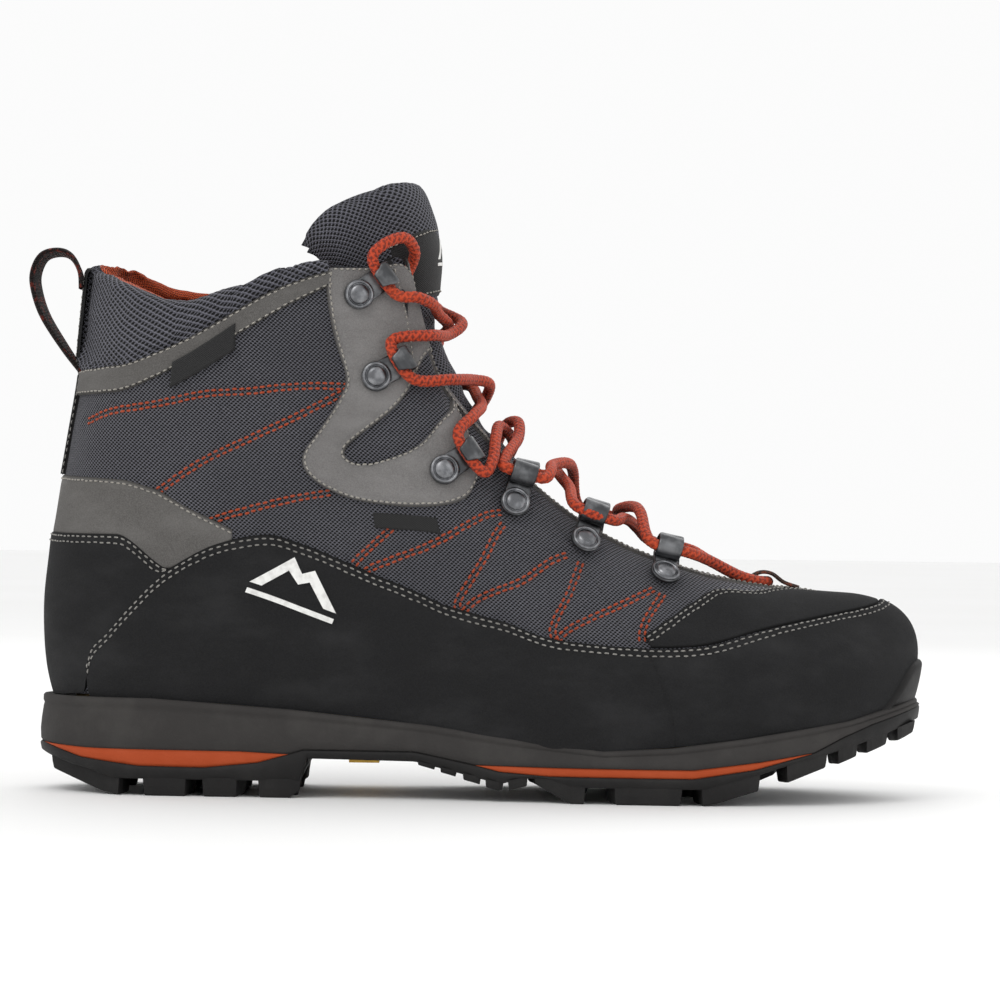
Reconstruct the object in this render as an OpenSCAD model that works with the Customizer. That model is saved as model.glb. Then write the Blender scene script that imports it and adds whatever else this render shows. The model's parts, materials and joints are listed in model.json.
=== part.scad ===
/* [Overall] */
// Length from the pull loop to the toe bumper
boot_length = 305; // [275:1:340]
// Width of the sole across the forefoot
boot_width = 106; // [94:1:120]
// Height of the top of the tongue above the ground
boot_height = 208; // [190:1:230]

/* [Upper] */
// Thickness of each suede overlay
suede_t = 1.4; // [1.1:0.1:1.6]
// Thickness of the mesh under the overlays
mesh_t = 1.4; // [1:0.1:1.6]
// Thickness of the heel counter and of the toe puff
stiffener_t = 1; // [0.8:0.1:1.2]
// Thickness of the lining
lining_t = 1; // [0.8:0.1:1.2]
// Gap between two layers of the upper
layer_gap = 0.2; // [0.1:0.05:0.3]
// Thickness of the collar padding
collar_t = 7; // [5:0.5:8]
// Thickness of the padded tongue
tongue_t = 7; // [5:0.5:8]

/* [Sole] */
// Thickness of the removable footbed
footbed_t = 5; // [3:0.5:7]
// Width of a groove between two lugs
groove_w = 6; // [4:0.5:8]
// Depth of a groove between two lugs
groove_depth = 5; // [3:0.5:6]

/* [Hardware] */
// Diameter of the lace
lace_d = 4.2; // [3.4:0.1:4.6]
// Room left around the lace inside a hook or a loop
lace_room = 0.5; // [0.4:0.1:0.8]
// Thickness of the steel plate of hooks and loops
plate_t = 1.2; // [1:0.1:1.4]
// Width of a hook or a lace loop along the lace
plate_w = 8.5; // [7:0.5:10]
// Diameter of a rivet's head
rivet_head_d = 9; // [8:0.2:10]
// Diameter of a rivet's shank
rivet_d = 3.4; // [3:0.1:4]

/* [Pull loop] */
// Width of the pull loop's webbing
webbing_w = 14; // [10:1:16]
// Thickness of the pull loop's webbing
webbing_t = 2; // [1.4:0.1:2.4]

/* [Hidden] */

$fn = 32;
NOMINAL = [305, 106, 208];
stretch = [boot_length / NOMINAL.x, boot_width / NOMINAL.y];

// Layers of the upper, measured inwards from its outer face
mesh_in = suede_t + layer_gap;
stiffener_in = mesh_in + mesh_t + layer_gap;
lining_in = stiffener_in + stiffener_t + layer_gap;
lining_end = lining_in + lining_t;
collar_lining_in = layer_gap + collar_t + layer_gap;

// Ribs of the upper, from the heel seam round the outer side and the toe to the heel seam again.
// Each is a curve from the sole's edge to the top line: start, two handles, end.
RIBS = [
    [[-143.5, 0, 31], [-156.5, 0, 70], [-134, 0, 120], [-134, 0, 180]],
    [[-134, -21, 31], [-144, -29, 70], [-125, -22, 120], [-122, -27, 174.5]],
    [[-108, -32, 31], [-110, -40, 72], [-103, -31, 120], [-100, -38, 167]],
    [[-62, -34, 28], [-62, -42, 75], [-66, -35, 125], [-66, -39, 179]],
    [[-15, -40, 23.5], [-12, -50, 75], [-32, -34, 120], [-38, -33, 181.5]],
    [[11, -44.5, 19.5], [12, -53, 62], [-15, -31, 122], [-24.5, -29, 180]],
    [[36, -49, 16.5], [36, -57, 50], [10, -28, 105], [-19, -25, 150]],
    [[86, -49, 20.7], [88, -58, 45], [48, -33, 86], [20.5, -19, 102.8]],
    [[125, -34, 26.6], [130, -42, 52], [97, -25, 76], [59, -15, 79]],
    [[147, 4, 32], [157, 4, 62], [144, 2, 74], [105, 0, 69.3]],
    [[133, 35, 28], [138, 42, 52], [99, 25, 76], [59, 15, 79]],
    [[94, 49, 22.4], [97, 56, 45], [50, 33, 86], [20.5, 19, 102.8]],
    [[44, 46, 15.8], [42, 52, 55], [10, 28, 105], [-19, 25, 150]],
    [[15, 39, 19.5], [14, 46, 65], [-15, 31, 122], [-24.5, 29, 180]],
    [[-12, 33, 23], [-10, 43, 75], [-32, 34, 120], [-38, 33, 181.5]],
    [[-62, 29, 28], [-62, 37, 75], [-66, 36, 125], [-66, 39, 180]],
    [[-108, 31, 31], [-110, 38, 72], [-103, 31, 120], [-99, 38, 173]],
    [[-134, 21, 31], [-144, 28, 70], [-125, 22, 120], [-122, 27, 180]],
];
TURN = len(RIBS);
TOE = TURN / 2;

// Edges of the panels: rib number from the heel seam, then the height along the rib
RAND_TOP = [[1.2, 0.03], [1.35, 0.14], [1.57, 0.19], [2.17, 0.35], [2.55, 0.4], [2.85, 0.41],
    [3.1, 0.39], [3.7, 0.32], [4.3, 0.28], [5.4, 0.3], [6.6, 0.34], [7, 0.37], [7.6, 0.45],
    [8.2, 0.52], [8.6, 0.57], [9, 0.65]];
HEEL_PANEL_TOP = [[0, 0.43], [1.57, 0.43], [2.1, 0.34]];
HEEL_PATCH_TOP = [[0, 0.56], [1.5, 0.56], [1.9, 0.54], [2.6, 0.43]];
TOE_OVERLAY_TOP = [[6.6, 0.37], [6.8, 0.43], [7.35, 0.58], [7.7, 0.67], [8, 0.7], [8.5, 0.84],
    [9, 0.95]];
CUFF_LOW = [[0, 0.725], [1.2, 0.75], [2.1, 0.83], [2.7, 0.87], [3.4, 0.93]];
CUFF_TOP = [[0, 0.775], [1.2, 0.81], [2, 0.88], [2.7, 0.925], [3.4, 0.96]];
SHELL_TOP = [[0, 0.75], [1.2, 0.78], [2, 0.85], [2.7, 0.9], [3.4, 0.945], [3.45, 0.96], [8, 0.96],
    [9, 0.945]];
THROAT_EDGE = [[6, 0.986], [6.2, 0.986], [7, 0.978], [9, 0.975]];
THROAT_FROM = 6.05;
THROAT_TO = 8.6;
SEAM = 0.008;

// Outer and inner edge of the facing: rib number and height along the rib
EYESTAY_OUT = [[3.5, 0.965], [3.45, 0.94], [3.5, 0.83], [3.6, 0.75], [3.5, 0.71], [3.3, 0.64],
    [3.1, 0.575], [3.23, 0.52], [3.6, 0.48], [4.5, 0.5], [5, 0.53], [5.4, 0.6], [5.8, 0.69]];
EYESTAY_IN = [[5.4, 0.965], [5.8, 0.955], [6.05, 0.95], [4.6, 0.76], [4.05, 0.7], [3.6, 0.63],
    [3.45, 0.59], [3.6, 0.565], [3.97, 0.6], [4.65, 0.65], [5.2, 0.72], [5.6, 0.78], [6, 0.88]];

// Outline of the sole, from the heel round the outer side and the toe
SOLE = [
    [-148, 0], [-139.5, -21], [-118, -34.5], [-80, -38], [-38, -40], [0, -44], [38, -51], [75, -52.8],
    [108, -46.5], [134, -29], [151, 3], [140.5, 32], [116, 46.5], [84, 52.95], [52, 50], [16, 41.5],
    [-20, 36], [-60, 34], [-100, 35.5], [-122, 32], [-141, 19],
];
// Heights along the sole: its edge under the upper, the top of the rubber, its underside
FEATHER = [[-156, 31], [-108, 31], [-62, 28], [-15, 23.5], [15, 19.2], [42, 16.2], [65, 17.6],
    [90, 21], [125, 26.6], [147, 32], [156, 34]];
RUBBER_TOP = [[-156, 14], [-148, 12.5], [-132, 9.7], [-90, 9.7], [-72, 11.6], [-62, 14.5], [-57, 16],
    [-20, 16], [0, 12], [8, 10], [24, 8.9], [72, 8.9], [92, 12], [112, 17.5],
    [130, 23], [156, 31]];
RUBBER_LOW = [[-156, 12], [-147, 9], [-135, 4.5], [-120, 0], [-58, 0], [-56, 13.2], [-20, 12.8],
    [8, 6], [20, 6], [32, 0], [76, 0], [94, 5], [109, 10], [130, 17], [156, 25]];
FOAM_LOW = [[-156, 18], [-130, 15.4], [-78, 15.2], [-62, 14.5], [-57, 16], [-20, 16], [0, 12],
    [24, 11.8],
    [72, 11.8], [94, 14.6], [112, 17.5], [130, 23], [156, 31]];

// The sole keeps its own heights; what stands above its top line grows with the boot's height
tongue_top_x = -25.4;
growth = (boot_height - NOMINAL.z) / (NOMINAL.z - lookup(tongue_top_x, FEATHER));
function grown(x, z) = z + max(z - lookup(x, FEATHER), 0) * growth;
// Stretches of the sole where a coloured band fills the gap between rubber and foam
HEEL_BAND = [-156, -62];
FOREFOOT_BAND = [0, 112];
HEEL_GROOVES = [-120, -94, -73];
FOREFOOT_GROOVES = [46, 76, 100, 118, 134];

// Riveted pieces: rib number and height of the rivet, turn of the plate towards the throat
TOP_HOOKS = [[3.82, 0.92, 30], [3.9, 0.76, 20]];
LOCK_HOOKS = [[4.73, 0.58, 20]];
LACE_LOOPS = [[6.08, 0.65, 50], [6.68, 0.67, 40], [7.28, 0.67, 38]];
eye_reach = 9.5;
eye_r = lace_d / 2 + lace_room;
lift = 0.45;

// Tongue: middle of its front, lean of the section, half width, depth of the curve, length of the wings
TONGUE_LOWER = [
    [93, 63, 82, 9, 1.5, 2, 3], [76, 66.5, 72, 11, 2.5, 4, 6], [58, 73, 60, 13, 4, 5, 7],
    [40, 85, 54, 14, 8, 6, 7], [22, 99, 50, 15, 12, 8, 7], [10, 115, 44, 15.5, 14, 10, 6],
    [-1, 129, 38, 16, 15, 12, 5], [-8, 142, 28, 17.5, 15, 13, 4], [-13, 152, 20, 18, 15, 14, 4],
    [-15, 158, 18, 18, 15, 14, 4],
];
TONGUE_UPPER = [
    [-15.6, 160.4, 18, 18, 15, 14, 4], [-15, 170, 18, 18, 14, 17, 4], [-14.5, 182, 20, 18.5, 13, 21, 4],
    [-17, 194, 27, 20, 12, 24, 4], [-21, 203, 32, 21, 12, 26, 4], [-26, 208, 36, 21, 12, 26, 3],
];

// Lace: outer tail, outer top hook, then side to side down to the toe and back up to the inner tail
LACE = [
    [-31.5, -25, 159], [-29, -24, 167], [-24, -20.5, 177], [-22.5, -24, 182.5], [-26, -30, 186.5],
    [-33, -35.5, 183.5],
    [-36, -37, 178], [-28.5, -36, 167.5], [-21, -34, 166.5], [-16, -26, 164.5], [-14.5, -14, 162],
    [-11, 0, 158.3], [-15, 15, 154.5], [-16, 32.5, 153.5],
    [-29.5, 38, 151.5], [-22, 38, 139.5], [-9.5, 30.5, 139.5], [-3.5, 12, 138.5], [-1, 0, 134.5],
    [0.5, -13, 131],
    [-2, -29.5, 127.6], [-7, -40, 120.5], [1, -42, 109], [4.5, -37.5, 112.5], [5.5, -26, 120.5],
    [6.5, -12, 124.5],
    [10, 0, 122], [11.5, 12, 119], [10.5, 26, 116], [8.5, 32.5, 113], [9.5, 35, 111.5],
    [22, 33.5, 108.5],
    [25.5, 27, 110], [25.5, 14, 111], [28, 0, 107.5], [30.5, -14, 104], [32.5, -33, 98],
    [44.5, -31.5, 93.5],
    [48.5, -14, 94], [51.5, 0, 93], [54.5, 14, 90.5], [60, 29.5, 86], [72.5, 27, 83.5], [79, 20, 80],
    [88, 10, 75.2], [95, 5.5, 73.2], [98.5, 0, 73], [95, -5.5, 73.2], [88, -10, 75.2], [77, -20, 80.5],
    [70, -28, 83], [57.5, -29.5, 86.5], [54.5, -14, 96], [52, 0, 98], [48, 14, 97],
    [46.5, 30.5, 94.5], [34.5, 32.5, 98], [32, 14, 110], [29.5, 0, 112.5], [24.5, -14, 111.5],
    [24, -27, 109.5],
    [21, -34, 107], [9, -35.5, 110.5], [8.5, -31.5, 113], [10, -25, 116], [13, -12, 120.5],
    [13, 0, 126],
    [9, 12, 125.5], [6, 27, 119.5], [4.2, 34, 116], [2.5, 40.5, 108.5], [-6.5, 38.5, 121],
    [-3, 29, 128.5],
    [1.5, 12, 134], [3, 0, 139], [-2.5, -12, 140], [-9.5, -30.5, 139.5], [-22.5, -39, 139.5],
    [-29.5, -38.5, 151.5], [-16.5, -33, 154], [-11.3, -14, 154.8], [-6.5, 0, 159.5], [-14, 14, 164],
    [-16, 26, 166],
    [-20.5, 34, 167.5], [-28.5, 36, 167.5], [-36, 37, 178], [-33, 35.5, 183.5], [-26, 30, 186.5],
    [-22.5, 24, 182.5],
    [-24, 20.5, 177], [-29, 24, 167], [-31.5, 25, 159],
];

// A point on a smooth curve between b and c, with a and d its neighbours
function between(a, b, c, d, u) =
    0.5 * (2 * b + (c - a) * u + (2 * a - 5 * b + 4 * c - d) * u * u + (3 * b - a - 3 * c + d)
        * u * u * u);
function loop_point(list, q) = let (
    n = len(list),
    i = floor(q),
    p = [for (k = [-1:2]) list[(i + k + n) % n]]
) between(p[0], p[1], p[2], p[3], q - i);
function loop_curve(list, steps) = [for (i = [0:len(list) * steps - 1]) loop_point(list, i / steps)];
function open_curve(list, steps) = let (last = len(list) - 1) [
    for (i = [0:last * steps]) let (
        k = min(floor(i / steps), last - 1),
        a = list[max(k - 1, 0)],
        d = list[min(k + 2, last)]
    ) between(a, list[k], list[k + 1], d, i / steps - k)
];
function unit(v) = v / norm(v);
function scaled(p) = [p.x * stretch.x, p.y * stretch.y, grown(p.x, p.z)];

// The outer face of the upper: q counts ribs, t climbs the rib from 0 to 1
function handle(k, q) = let (
    i = floor(q),
    p = [for (m = [-1:2]) RIBS[(i + m + TURN) % TURN][k]]
) between(p[0], p[1], p[2], p[3], q - i);
function skin(q, t) = scaled(
    pow(1 - t, 3) * handle(0, q) + 3 * t * pow(1 - t, 2) * handle(1, q)
    + 3 * t * t * (1 - t) * handle(2, q) + pow(t, 3) * handle(3, q)
);
STEP = 0.01;
function along(q, t) = unit(skin(q + STEP, t) - skin(q - STEP, t));
function up(q, t) = unit(skin(q, t + STEP) - skin(q, t - STEP));
function outwards(q, t) = unit(cross(along(q, t), up(q, t)));
function layer(q, t, depth) = skin(q, t) - depth * outwards(q, t);
function side(q) = min(q, TURN - q);

function flat(lists) = [for (a = lists) for (b = a) b];

// A closed shell between two grids of points of the same size
module shell(front, back) {
    rows = len(front);
    cols = len(front[0]);
    half = rows * cols;
    quads = flat([for (i = [0:rows - 2]) [for (j = [0:cols - 2]) let (a = i * cols + j)
        [a, a + 1, a + cols + 1, a + cols]]]);
    rim = concat(
        [for (j = [0:cols - 1]) j],
        [for (i = [1:rows - 1]) i * cols + cols - 1],
        [for (j = [cols - 2:-1:0]) (rows - 1) * cols + j],
        [for (i = [rows - 2:-1:1]) i * cols]
    );
    faces = concat(
        flat([for (f = quads) [[f[0], f[1], f[2]], [f[0], f[2], f[3]]]]),
        flat([for (f = quads) [[f[2] + half, f[1] + half, f[0] + half],
            [f[3] + half, f[2] + half, f[0] + half]]]),
        flat([for (k = [0:len(rim) - 1]) let (a = rim[k], b = rim[(k + 1) % len(rim)])
            [[b, a, a + half], [b, a + half, b + half]]])
    );
    polyhedron(concat(flat(front), flat(back)), faces);
}

// A sheet of the upper between two depths, on a grid of rib numbers and heights
module sheet(grid, near, far) {
    shell(
        [for (row = grid) [for (g = row) layer(g[0], g[1], near)]],
        [for (row = grid) [for (g = row) layer(g[0], g[1], far)]]
    );
}

// A grid from rib q0 to rib q1 between two edges, given for one side and mirrored on the other
function band(q0, q1, rows, low, high, cols) = [for (i = [0:rows]) let (q = q0 + (q1 - q0) * i / rows)
    [for (j = [0:cols]) [q, lookup(side(q), low) + (lookup(side(q), high) - lookup(side(q), low))
    * j / cols]]];
function level(t) = [[0, t], [TOE, t]];
function raised(edge, by) = [for (e = edge) [e[0], e[1] + by]];

// A slice of the sole: a side outline cut to the sole's plan, drawn in by inset
function sole_plan(inset) = let (c = loop_curve(SOLE, 4), n = len(c))
    [for (i = [0:n - 1]) let (d = unit(c[(i + 1) % n] - c[(i + n - 1) % n]))
        [(c[i].x - d.y * inset) * stretch.x, (c[i].y + d.x * inset) * stretch.y]];
module sole_slice(outline, inset = 0) {
    intersection() {
        translate([0, 0, -1])
            linear_extrude(height = 80)
                polygon(sole_plan(inset));
        rotate([90, 0, 0])
            linear_extrude(height = 2 * boot_width, center = true)
                polygon([for (p = outline) [p.x * stretch.x, p.y]]);
    }
}
function lifted(line, by) = [for (p = line) [p[0], p[1] + by]];
function reversed(list) = [for (i = [len(list) - 1:-1:0]) list[i]];

module on_skin(q, t) {
    w = outwards(q, t);
    v = up(q, t);
    u = cross(v, w);
    p = skin(q, t);
    multmatrix([[u.x, v.x, w.x, p.x], [u.y, v.y, w.y, p.y], [u.z, v.z, w.z, p.z], [0, 0, 0, 1]])
        children();
}

// The same riveted piece on the outer and on the inner facing
module on_both_facings(places) {
    for (p = places) {
        on_skin(p[0], p[1]) rotate([0, 0, p[2]]) children();
        on_skin(TURN - p[0], p[1]) rotate([0, 0, 180 - p[2]]) children();
    }
}

module outsole() {
    below = 1;
    color("#33312f") difference() {
        sole_slice(concat(RUBBER_LOW, reversed(RUBBER_TOP)));
        for (x = concat(HEEL_GROOVES, FOREFOOT_GROOVES))
            translate([x * stretch.x, 0, lookup(x, RUBBER_LOW) + groove_depth / 2 - below])
                cube([groove_w, 2 * boot_width, groove_depth + 2 * below], center = true);
    }
}

module midsole() {
    color("#46433f") difference() {
        sole_slice(concat(FOAM_LOW, reversed(FEATHER)));
        shank_pocket();
    }
}
function stretch_of(line, from, to) = [for (p = line) if (p[0] >= from && p[0] <= to) p];
module sole_band(span) {
    meet = 1;
    sole_slice(concat(
        stretch_of(RUBBER_TOP, span[0], span[1]),
        reversed(stretch_of(FOAM_LOW, span[0] > RUBBER_TOP[0][0] ? span[0] + meet : span[0],
            span[1] - meet))
    ));
}
module heel_insert() {
    color("#cc5533") sole_band(HEEL_BAND);
}
module forefoot_insert() {
    color("#cc5533") sole_band(FOREFOOT_BAND);
}

inlay_x = -37;
inlay_size = [10, 60, 1.2];
inlay_gap = 0.2;
module waist_inlay() {
    z = lookup(inlay_x, RUBBER_LOW) - inlay_gap - inlay_size.z / 2;
    color("#d8a83a") translate([inlay_x * stretch.x, 0, z]) cube(inlay_size, center = true);
}

// Steel shank in a slot that opens under the lasting board
shank_size = [110, 16, 2];
shank_at = [-52, 0, 21];
shank_lean = 3;
module shank_pocket() {
    room = 0.2;
    translate([shank_at.x * stretch.x, 0, shank_at.z]) rotate([0, shank_lean, 0])
        translate([-shank_size.x / 2 - room, -shank_size.y / 2 - room, -shank_size.z / 2 - room])
            cube([shank_size.x + 2 * room, shank_size.y + 2 * room, 20]);
}
module shank() {
    color("silver") translate([shank_at.x * stretch.x, 0, shank_at.z]) rotate([0, shank_lean, 0])
        cube(shank_size, center = true);
}

board_t = 2;
board_gap = 0.3;
board_inset = 12;
footbed_inset = 14.5;
module lasting_board() {
    color("#b49a78")
        sole_slice(concat(lifted(FEATHER, board_gap),
            reversed(lifted(FEATHER, board_gap + board_t))), board_inset);
}
module footbed() {
    base = 2 * board_gap + board_t;
    color("#c9c4bb")
        sole_slice(concat(lifted(FEATHER, base),
            reversed(lifted(FEATHER, base + footbed_t))), footbed_inset);
}

module toe_bumper() {
    edge = [[8, 0.05], [8.35, 0.06], [8.6, 0.12], [8.9, 0.17], [9, 0.17]];
    color("#33312f") sheet(band(8.2, 9.9, 14, level(0.035), edge, 4), -2.5, -layer_gap);
}

FOOT = level(0.012);
module quarter_lateral() {
    color("#55555d") sheet(band(0.05, 6.5, 26, FOOT, SHELL_TOP, 12), mesh_in, mesh_in + mesh_t);
}
module vamp() {
    color("#55555d") sheet(band(6.52, TURN - 6.52, 28, FOOT, SHELL_TOP, 10), mesh_in, mesh_in + mesh_t);
}
module quarter_medial() {
    color("#55555d")
        sheet(band(TURN - 6.5, TURN - 0.05, 26, FOOT, SHELL_TOP, 12), mesh_in, mesh_in + mesh_t);
}
INNER_FOOT = level(0.03);
module lining() {
    color("#2f2f33")

        sheet(band(0.06, TURN - 0.06, 66, INNER_FOOT, raised(SHELL_TOP, -0.01), 8), lining_in, lining_end);
}
module stiffener(q0, q1, rows, top) {
    color("#d8d2c4")
        sheet(band(q0, q1, rows, INNER_FOOT, level(top), 5), stiffener_in, stiffener_in + stiffener_t);
}
module heel_counter() {
    stiffener(0.08, 2.6, 8, 0.4);
    stiffener(TURN - 2.6, TURN - 0.08, 8, 0.4);
}
module toe_puff() {
    stiffener(7.9, TURN - 7.9, 14, 0.6);
}

module rand_lateral() {
    color("#232323") sheet(band(1.25, 6.6, 26, level(0.008), RAND_TOP, 5), 0, suede_t);
}
module toe_rand() {
    color("#232323") sheet(band(6.63, TURN - 6.63, 28, level(0.008), RAND_TOP, 6), 0, suede_t);
}
module rand_medial() {
    color("#232323") sheet(band(TURN - 6.6, TURN - 1.25, 26, level(0.008), RAND_TOP, 5), 0, suede_t);
}
module toe_overlay() {
    color("#262626")
        sheet(band(6.7, TURN - 6.7, 20, raised(RAND_TOP, SEAM), TOE_OVERLAY_TOP, 5), 0, suede_t);
}

// The heel piece reaches down to the sole at the back and to the rand at its sides
HEEL_PANEL_LOW = [[0, 0.008], [1.2, 0.04], [1.35, 0.15], [1.57, 0.2], [2.1, 0.335]];
module heel_panel() {
    color("#232323") union() {
        sheet(band(0.04, 2.08, 10, HEEL_PANEL_LOW, HEEL_PANEL_TOP, 5), 0, suede_t);
        sheet(band(TURN - 2.08, TURN - 0.04, 10, HEEL_PANEL_LOW, HEEL_PANEL_TOP, 5), 0, suede_t);
    }
}
HEEL_PATCH_LOW = [[0, 0.44], [1.57, 0.44], [2.1, 0.36], [2.17, 0.36], [2.55, 0.41], [2.6, 0.41]];
module heel_patch() {
    color("#85817b") union() {
        sheet(band(0.04, 2.58, 11, HEEL_PATCH_LOW, HEEL_PATCH_TOP, 2), 0, suede_t);
        sheet(band(TURN - 2.58, TURN - 0.04, 11, HEEL_PATCH_LOW, HEEL_PATCH_TOP, 2), 0, suede_t);
    }
}
module cuff_band_lateral() {
    color("#85817b") sheet(band(0.3, 3.4, 14, CUFF_LOW, CUFF_TOP, 2), 0, suede_t);
}
module cuff_band_medial() {
    color("#85817b") sheet(band(TURN - 3.4, TURN - 0.3, 14, CUFF_LOW, CUFF_TOP, 2), 0, suede_t);
}
RIM = level(0.985);
module collar_lateral() {
    color("#4a4a52")
        sheet(band(0.05, 3.4, 14, raised(CUFF_TOP, SEAM), RIM, 4), layer_gap, layer_gap + collar_t);
}
module collar_medial() {
    color("#4a4a52")

        sheet(band(TURN - 3.4, TURN - 0.05, 14, raised(CUFF_TOP, SEAM), RIM, 4),
            layer_gap, layer_gap + collar_t);
}
module collar_lining() {
    color("#c4532a") union() {
        sheet(band(0.1, 3.3, 12, raised(CUFF_TOP, -0.02), level(0.97), 3),
            collar_lining_in, collar_lining_in + lining_t);
        sheet(band(TURN - 3.3, TURN - 0.1, 12, raised(CUFF_TOP, -0.02), level(0.97), 3),
            collar_lining_in, collar_lining_in + lining_t);
    }
}

// The facing is pared thinner than the other suede, as it bends most
facing_skive = 0.3;
function facing_grid(mirrored) = [for (j = [0:6]) [for (k = [0:3 * (len(EYESTAY_OUT) - 1)]) let (
    i = min(floor(k / 3), len(EYESTAY_OUT) - 2),
    f = k / 3 - i,
    a = EYESTAY_OUT[i] * (1 - f) + EYESTAY_OUT[i + 1] * f,
    b = EYESTAY_IN[i] * (1 - f) + EYESTAY_IN[i + 1] * f,
    g = a + (b - a) * j / 6
) mirrored ? [TURN - g[0], g[1]] : g]];
module eyestay_lateral() {
    color("#85817b") sheet(reversed(facing_grid(false)), 0, suede_t - facing_skive);
}
module eyestay_medial() {
    color("#85817b") sheet(facing_grid(true), 0, suede_t - facing_skive);
}

// Binding folded over the edge of the throat
module throat_binding_lateral() {
    color("#6f6b66")
        sheet(band(THROAT_FROM, THROAT_TO, 22, THROAT_EDGE, level(1), 1), 0, mesh_in + mesh_t);
}
module throat_binding_medial() {
    color("#6f6b66")
        sheet(band(TURN - THROAT_TO, TURN - THROAT_FROM, 22, THROAT_EDGE, level(1), 1),
            0, mesh_in + mesh_t);
}

module back_strip() {
    rows = [for (i = [0:2]) [for (j = [0:8]) [-0.22 + 0.22 * i, 0.585 + (0.765 - 0.585) * j / 8]]];
    color("#202020")
        sheet([for (row = rows) [for (g = row) [g[0] < 0 ? g[0] + TURN : g[0], g[1]]]], 0, suede_t);
}

// Middle line of the pull loop in the boot's middle plane, from its upper to its lower stitching
PULL = [[-137.8, 172], [-138.5, 181], [-141.5, 186.5], [-147, 186.5], [-151, 181], [-151.6, 174],
    [-149.5, 165],
    [-144, 153], [-139, 143.5]];
module pull_loop() {
    line = open_curve(PULL, 3);
    n = len(line) - 1;
    edge = function (s) [for (i = [0:n]) let (d = unit(line[min(i + 1, n)] - line[max(i - 1, 0)]))
        [line[i].x - d.y * s, line[i].y + d.x * s]];
    rows = function (s) [for (y = [-1, 1]) [for (p = edge(s))
        [p.x * stretch.x, y * webbing_w / 2, grown(p.x, p.y)]]];
    color("#3a2320") shell(rows(-webbing_t / 2), rows(webbing_t / 2));
}

// A section of the tongue: across its curved front, then back along its wings
function tongue_point(s, u, inset) = let (
    full = 80,
    bend = min(abs(u) / 0.6, 1) * full,
    wing = max(abs(u) - 0.6, 0) / 0.4,
    back = s[4] * (1 - cos(bend)) / (1 - cos(full)) + s[5] * wing + inset,
    across = sign(u) * ((s[3] - inset) * sin(bend) / sin(full) + s[6] * wing)
) scaled([s[0] - back * cos(s[2]), across, s[1] - back * sin(s[2])]);
module tongue(sections, steps) {
    ribs = open_curve(sections, steps);
    us = [for (k = [-7:7]) k / 7];
    shell(
        [for (s = ribs) [for (u = us) tongue_point(s, -u, 0)]],
        [for (s = ribs) [for (u = us) tongue_point(s, -u, s[4] < 3 ? tongue_t / 2 : tongue_t)]]
    );
}
module tongue_lower() {
    color("#4a4a52") tongue(TONGUE_LOWER, 1);
}
module tongue_upper() {
    color("#4a4a52") tongue(TONGUE_UPPER, 1);
}
module tongue_label() {
    rows = open_curve([for (i = [1:3]) TONGUE_UPPER[i]], 3);
    us = [for (k = [-3:3]) k / 6];
    color("#1c1c1c") shell(
        [for (s = rows) [for (u = us) tongue_point(s, -u, -1.2)]],
        [for (s = rows) [for (u = us) tongue_point(s, -u, -0.4)]]
    );
}

// Plain tags sewn on the suede and on the mesh, and a badge printed on the rand
tag_t = 0.8;
tag_gap = 0.05;
module side_tag() {
    low = [[1.98, 0.8], [2.58, 0.855]];
    color("#1c1c1c") sheet(band(1.98, 2.58, 4, low, raised(low, 0.068), 1), -tag_t, -tag_gap);
}
module model_tag() {
    color("#1c1c1c")
        sheet(band(3.65, 4.35, 4, level(0.435), level(0.468), 1), mesh_in - tag_t, mesh_in - tag_gap);
}
module side_badge() {
    color("#e8e8e6")
        sheet(band(2.65, 3.4, 5, level(0.24), [[2.65, 0.36], [3.4, 0.33]], 2), -0.5, -tag_gap);
}

// A steel plate under the rivet, running on to a ring that holds the lace
module eye_plate(open) {
    ring_z = lift + plate_t + eye_r;
    rotate([90, 0, 0]) linear_extrude(height = plate_w, center = true) difference() {
        union() {
            translate([2, lift]) square([eye_reach - 2, plate_t]);
            translate([eye_reach, ring_z]) circle(r = eye_r + plate_t);
            if (open) translate([eye_reach - eye_r, ring_z + eye_r]) square([eye_r, plate_t]);
        }
        translate([eye_reach, ring_z]) circle(r = eye_r);
        if (open) translate([eye_reach - 3 * eye_r, lift + plate_t]) square([3 * eye_r, 2 * eye_r]);
    }
    translate([0, 0, lift]) difference() {
        cylinder(d = rivet_head_d + 1, h = plate_t);
        translate([0, 0, -1]) cylinder(d = rivet_d + 0.2, h = plate_t + 2);
    }
}
module rivet() {
    head_h = 1.4;
    top = lift + plate_t;
    rotate_extrude() polygon([
        [0, -mesh_in - mesh_t], [rivet_d / 2, -mesh_in - mesh_t], [rivet_d / 2, top],
        [rivet_head_d / 2, top], [rivet_head_d / 2 - 0.4, top + head_h * 0.5],
        [rivet_head_d / 3, top + head_h * 0.9], [0, top + head_h],
    ]);
}
module top_hooks() {
    color("#5c5c5e") on_both_facings(TOP_HOOKS) eye_plate(true);
}
module top_hook_rivets() {
    color("#6a6a6c") on_both_facings(TOP_HOOKS) rivet();
}
module lock_hooks() {
    color("#5c5c5e") on_both_facings(LOCK_HOOKS) eye_plate(true);
}
module lock_hook_rivets() {
    color("#6a6a6c") on_both_facings(LOCK_HOOKS) rivet();
}
module lace_loops() {
    color("#5c5c5e") on_both_facings(LACE_LOOPS) eye_plate(false);
}
module lace_loop_rivets() {
    color("#6a6a6c") on_both_facings(LACE_LOOPS) rivet();
}

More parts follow.
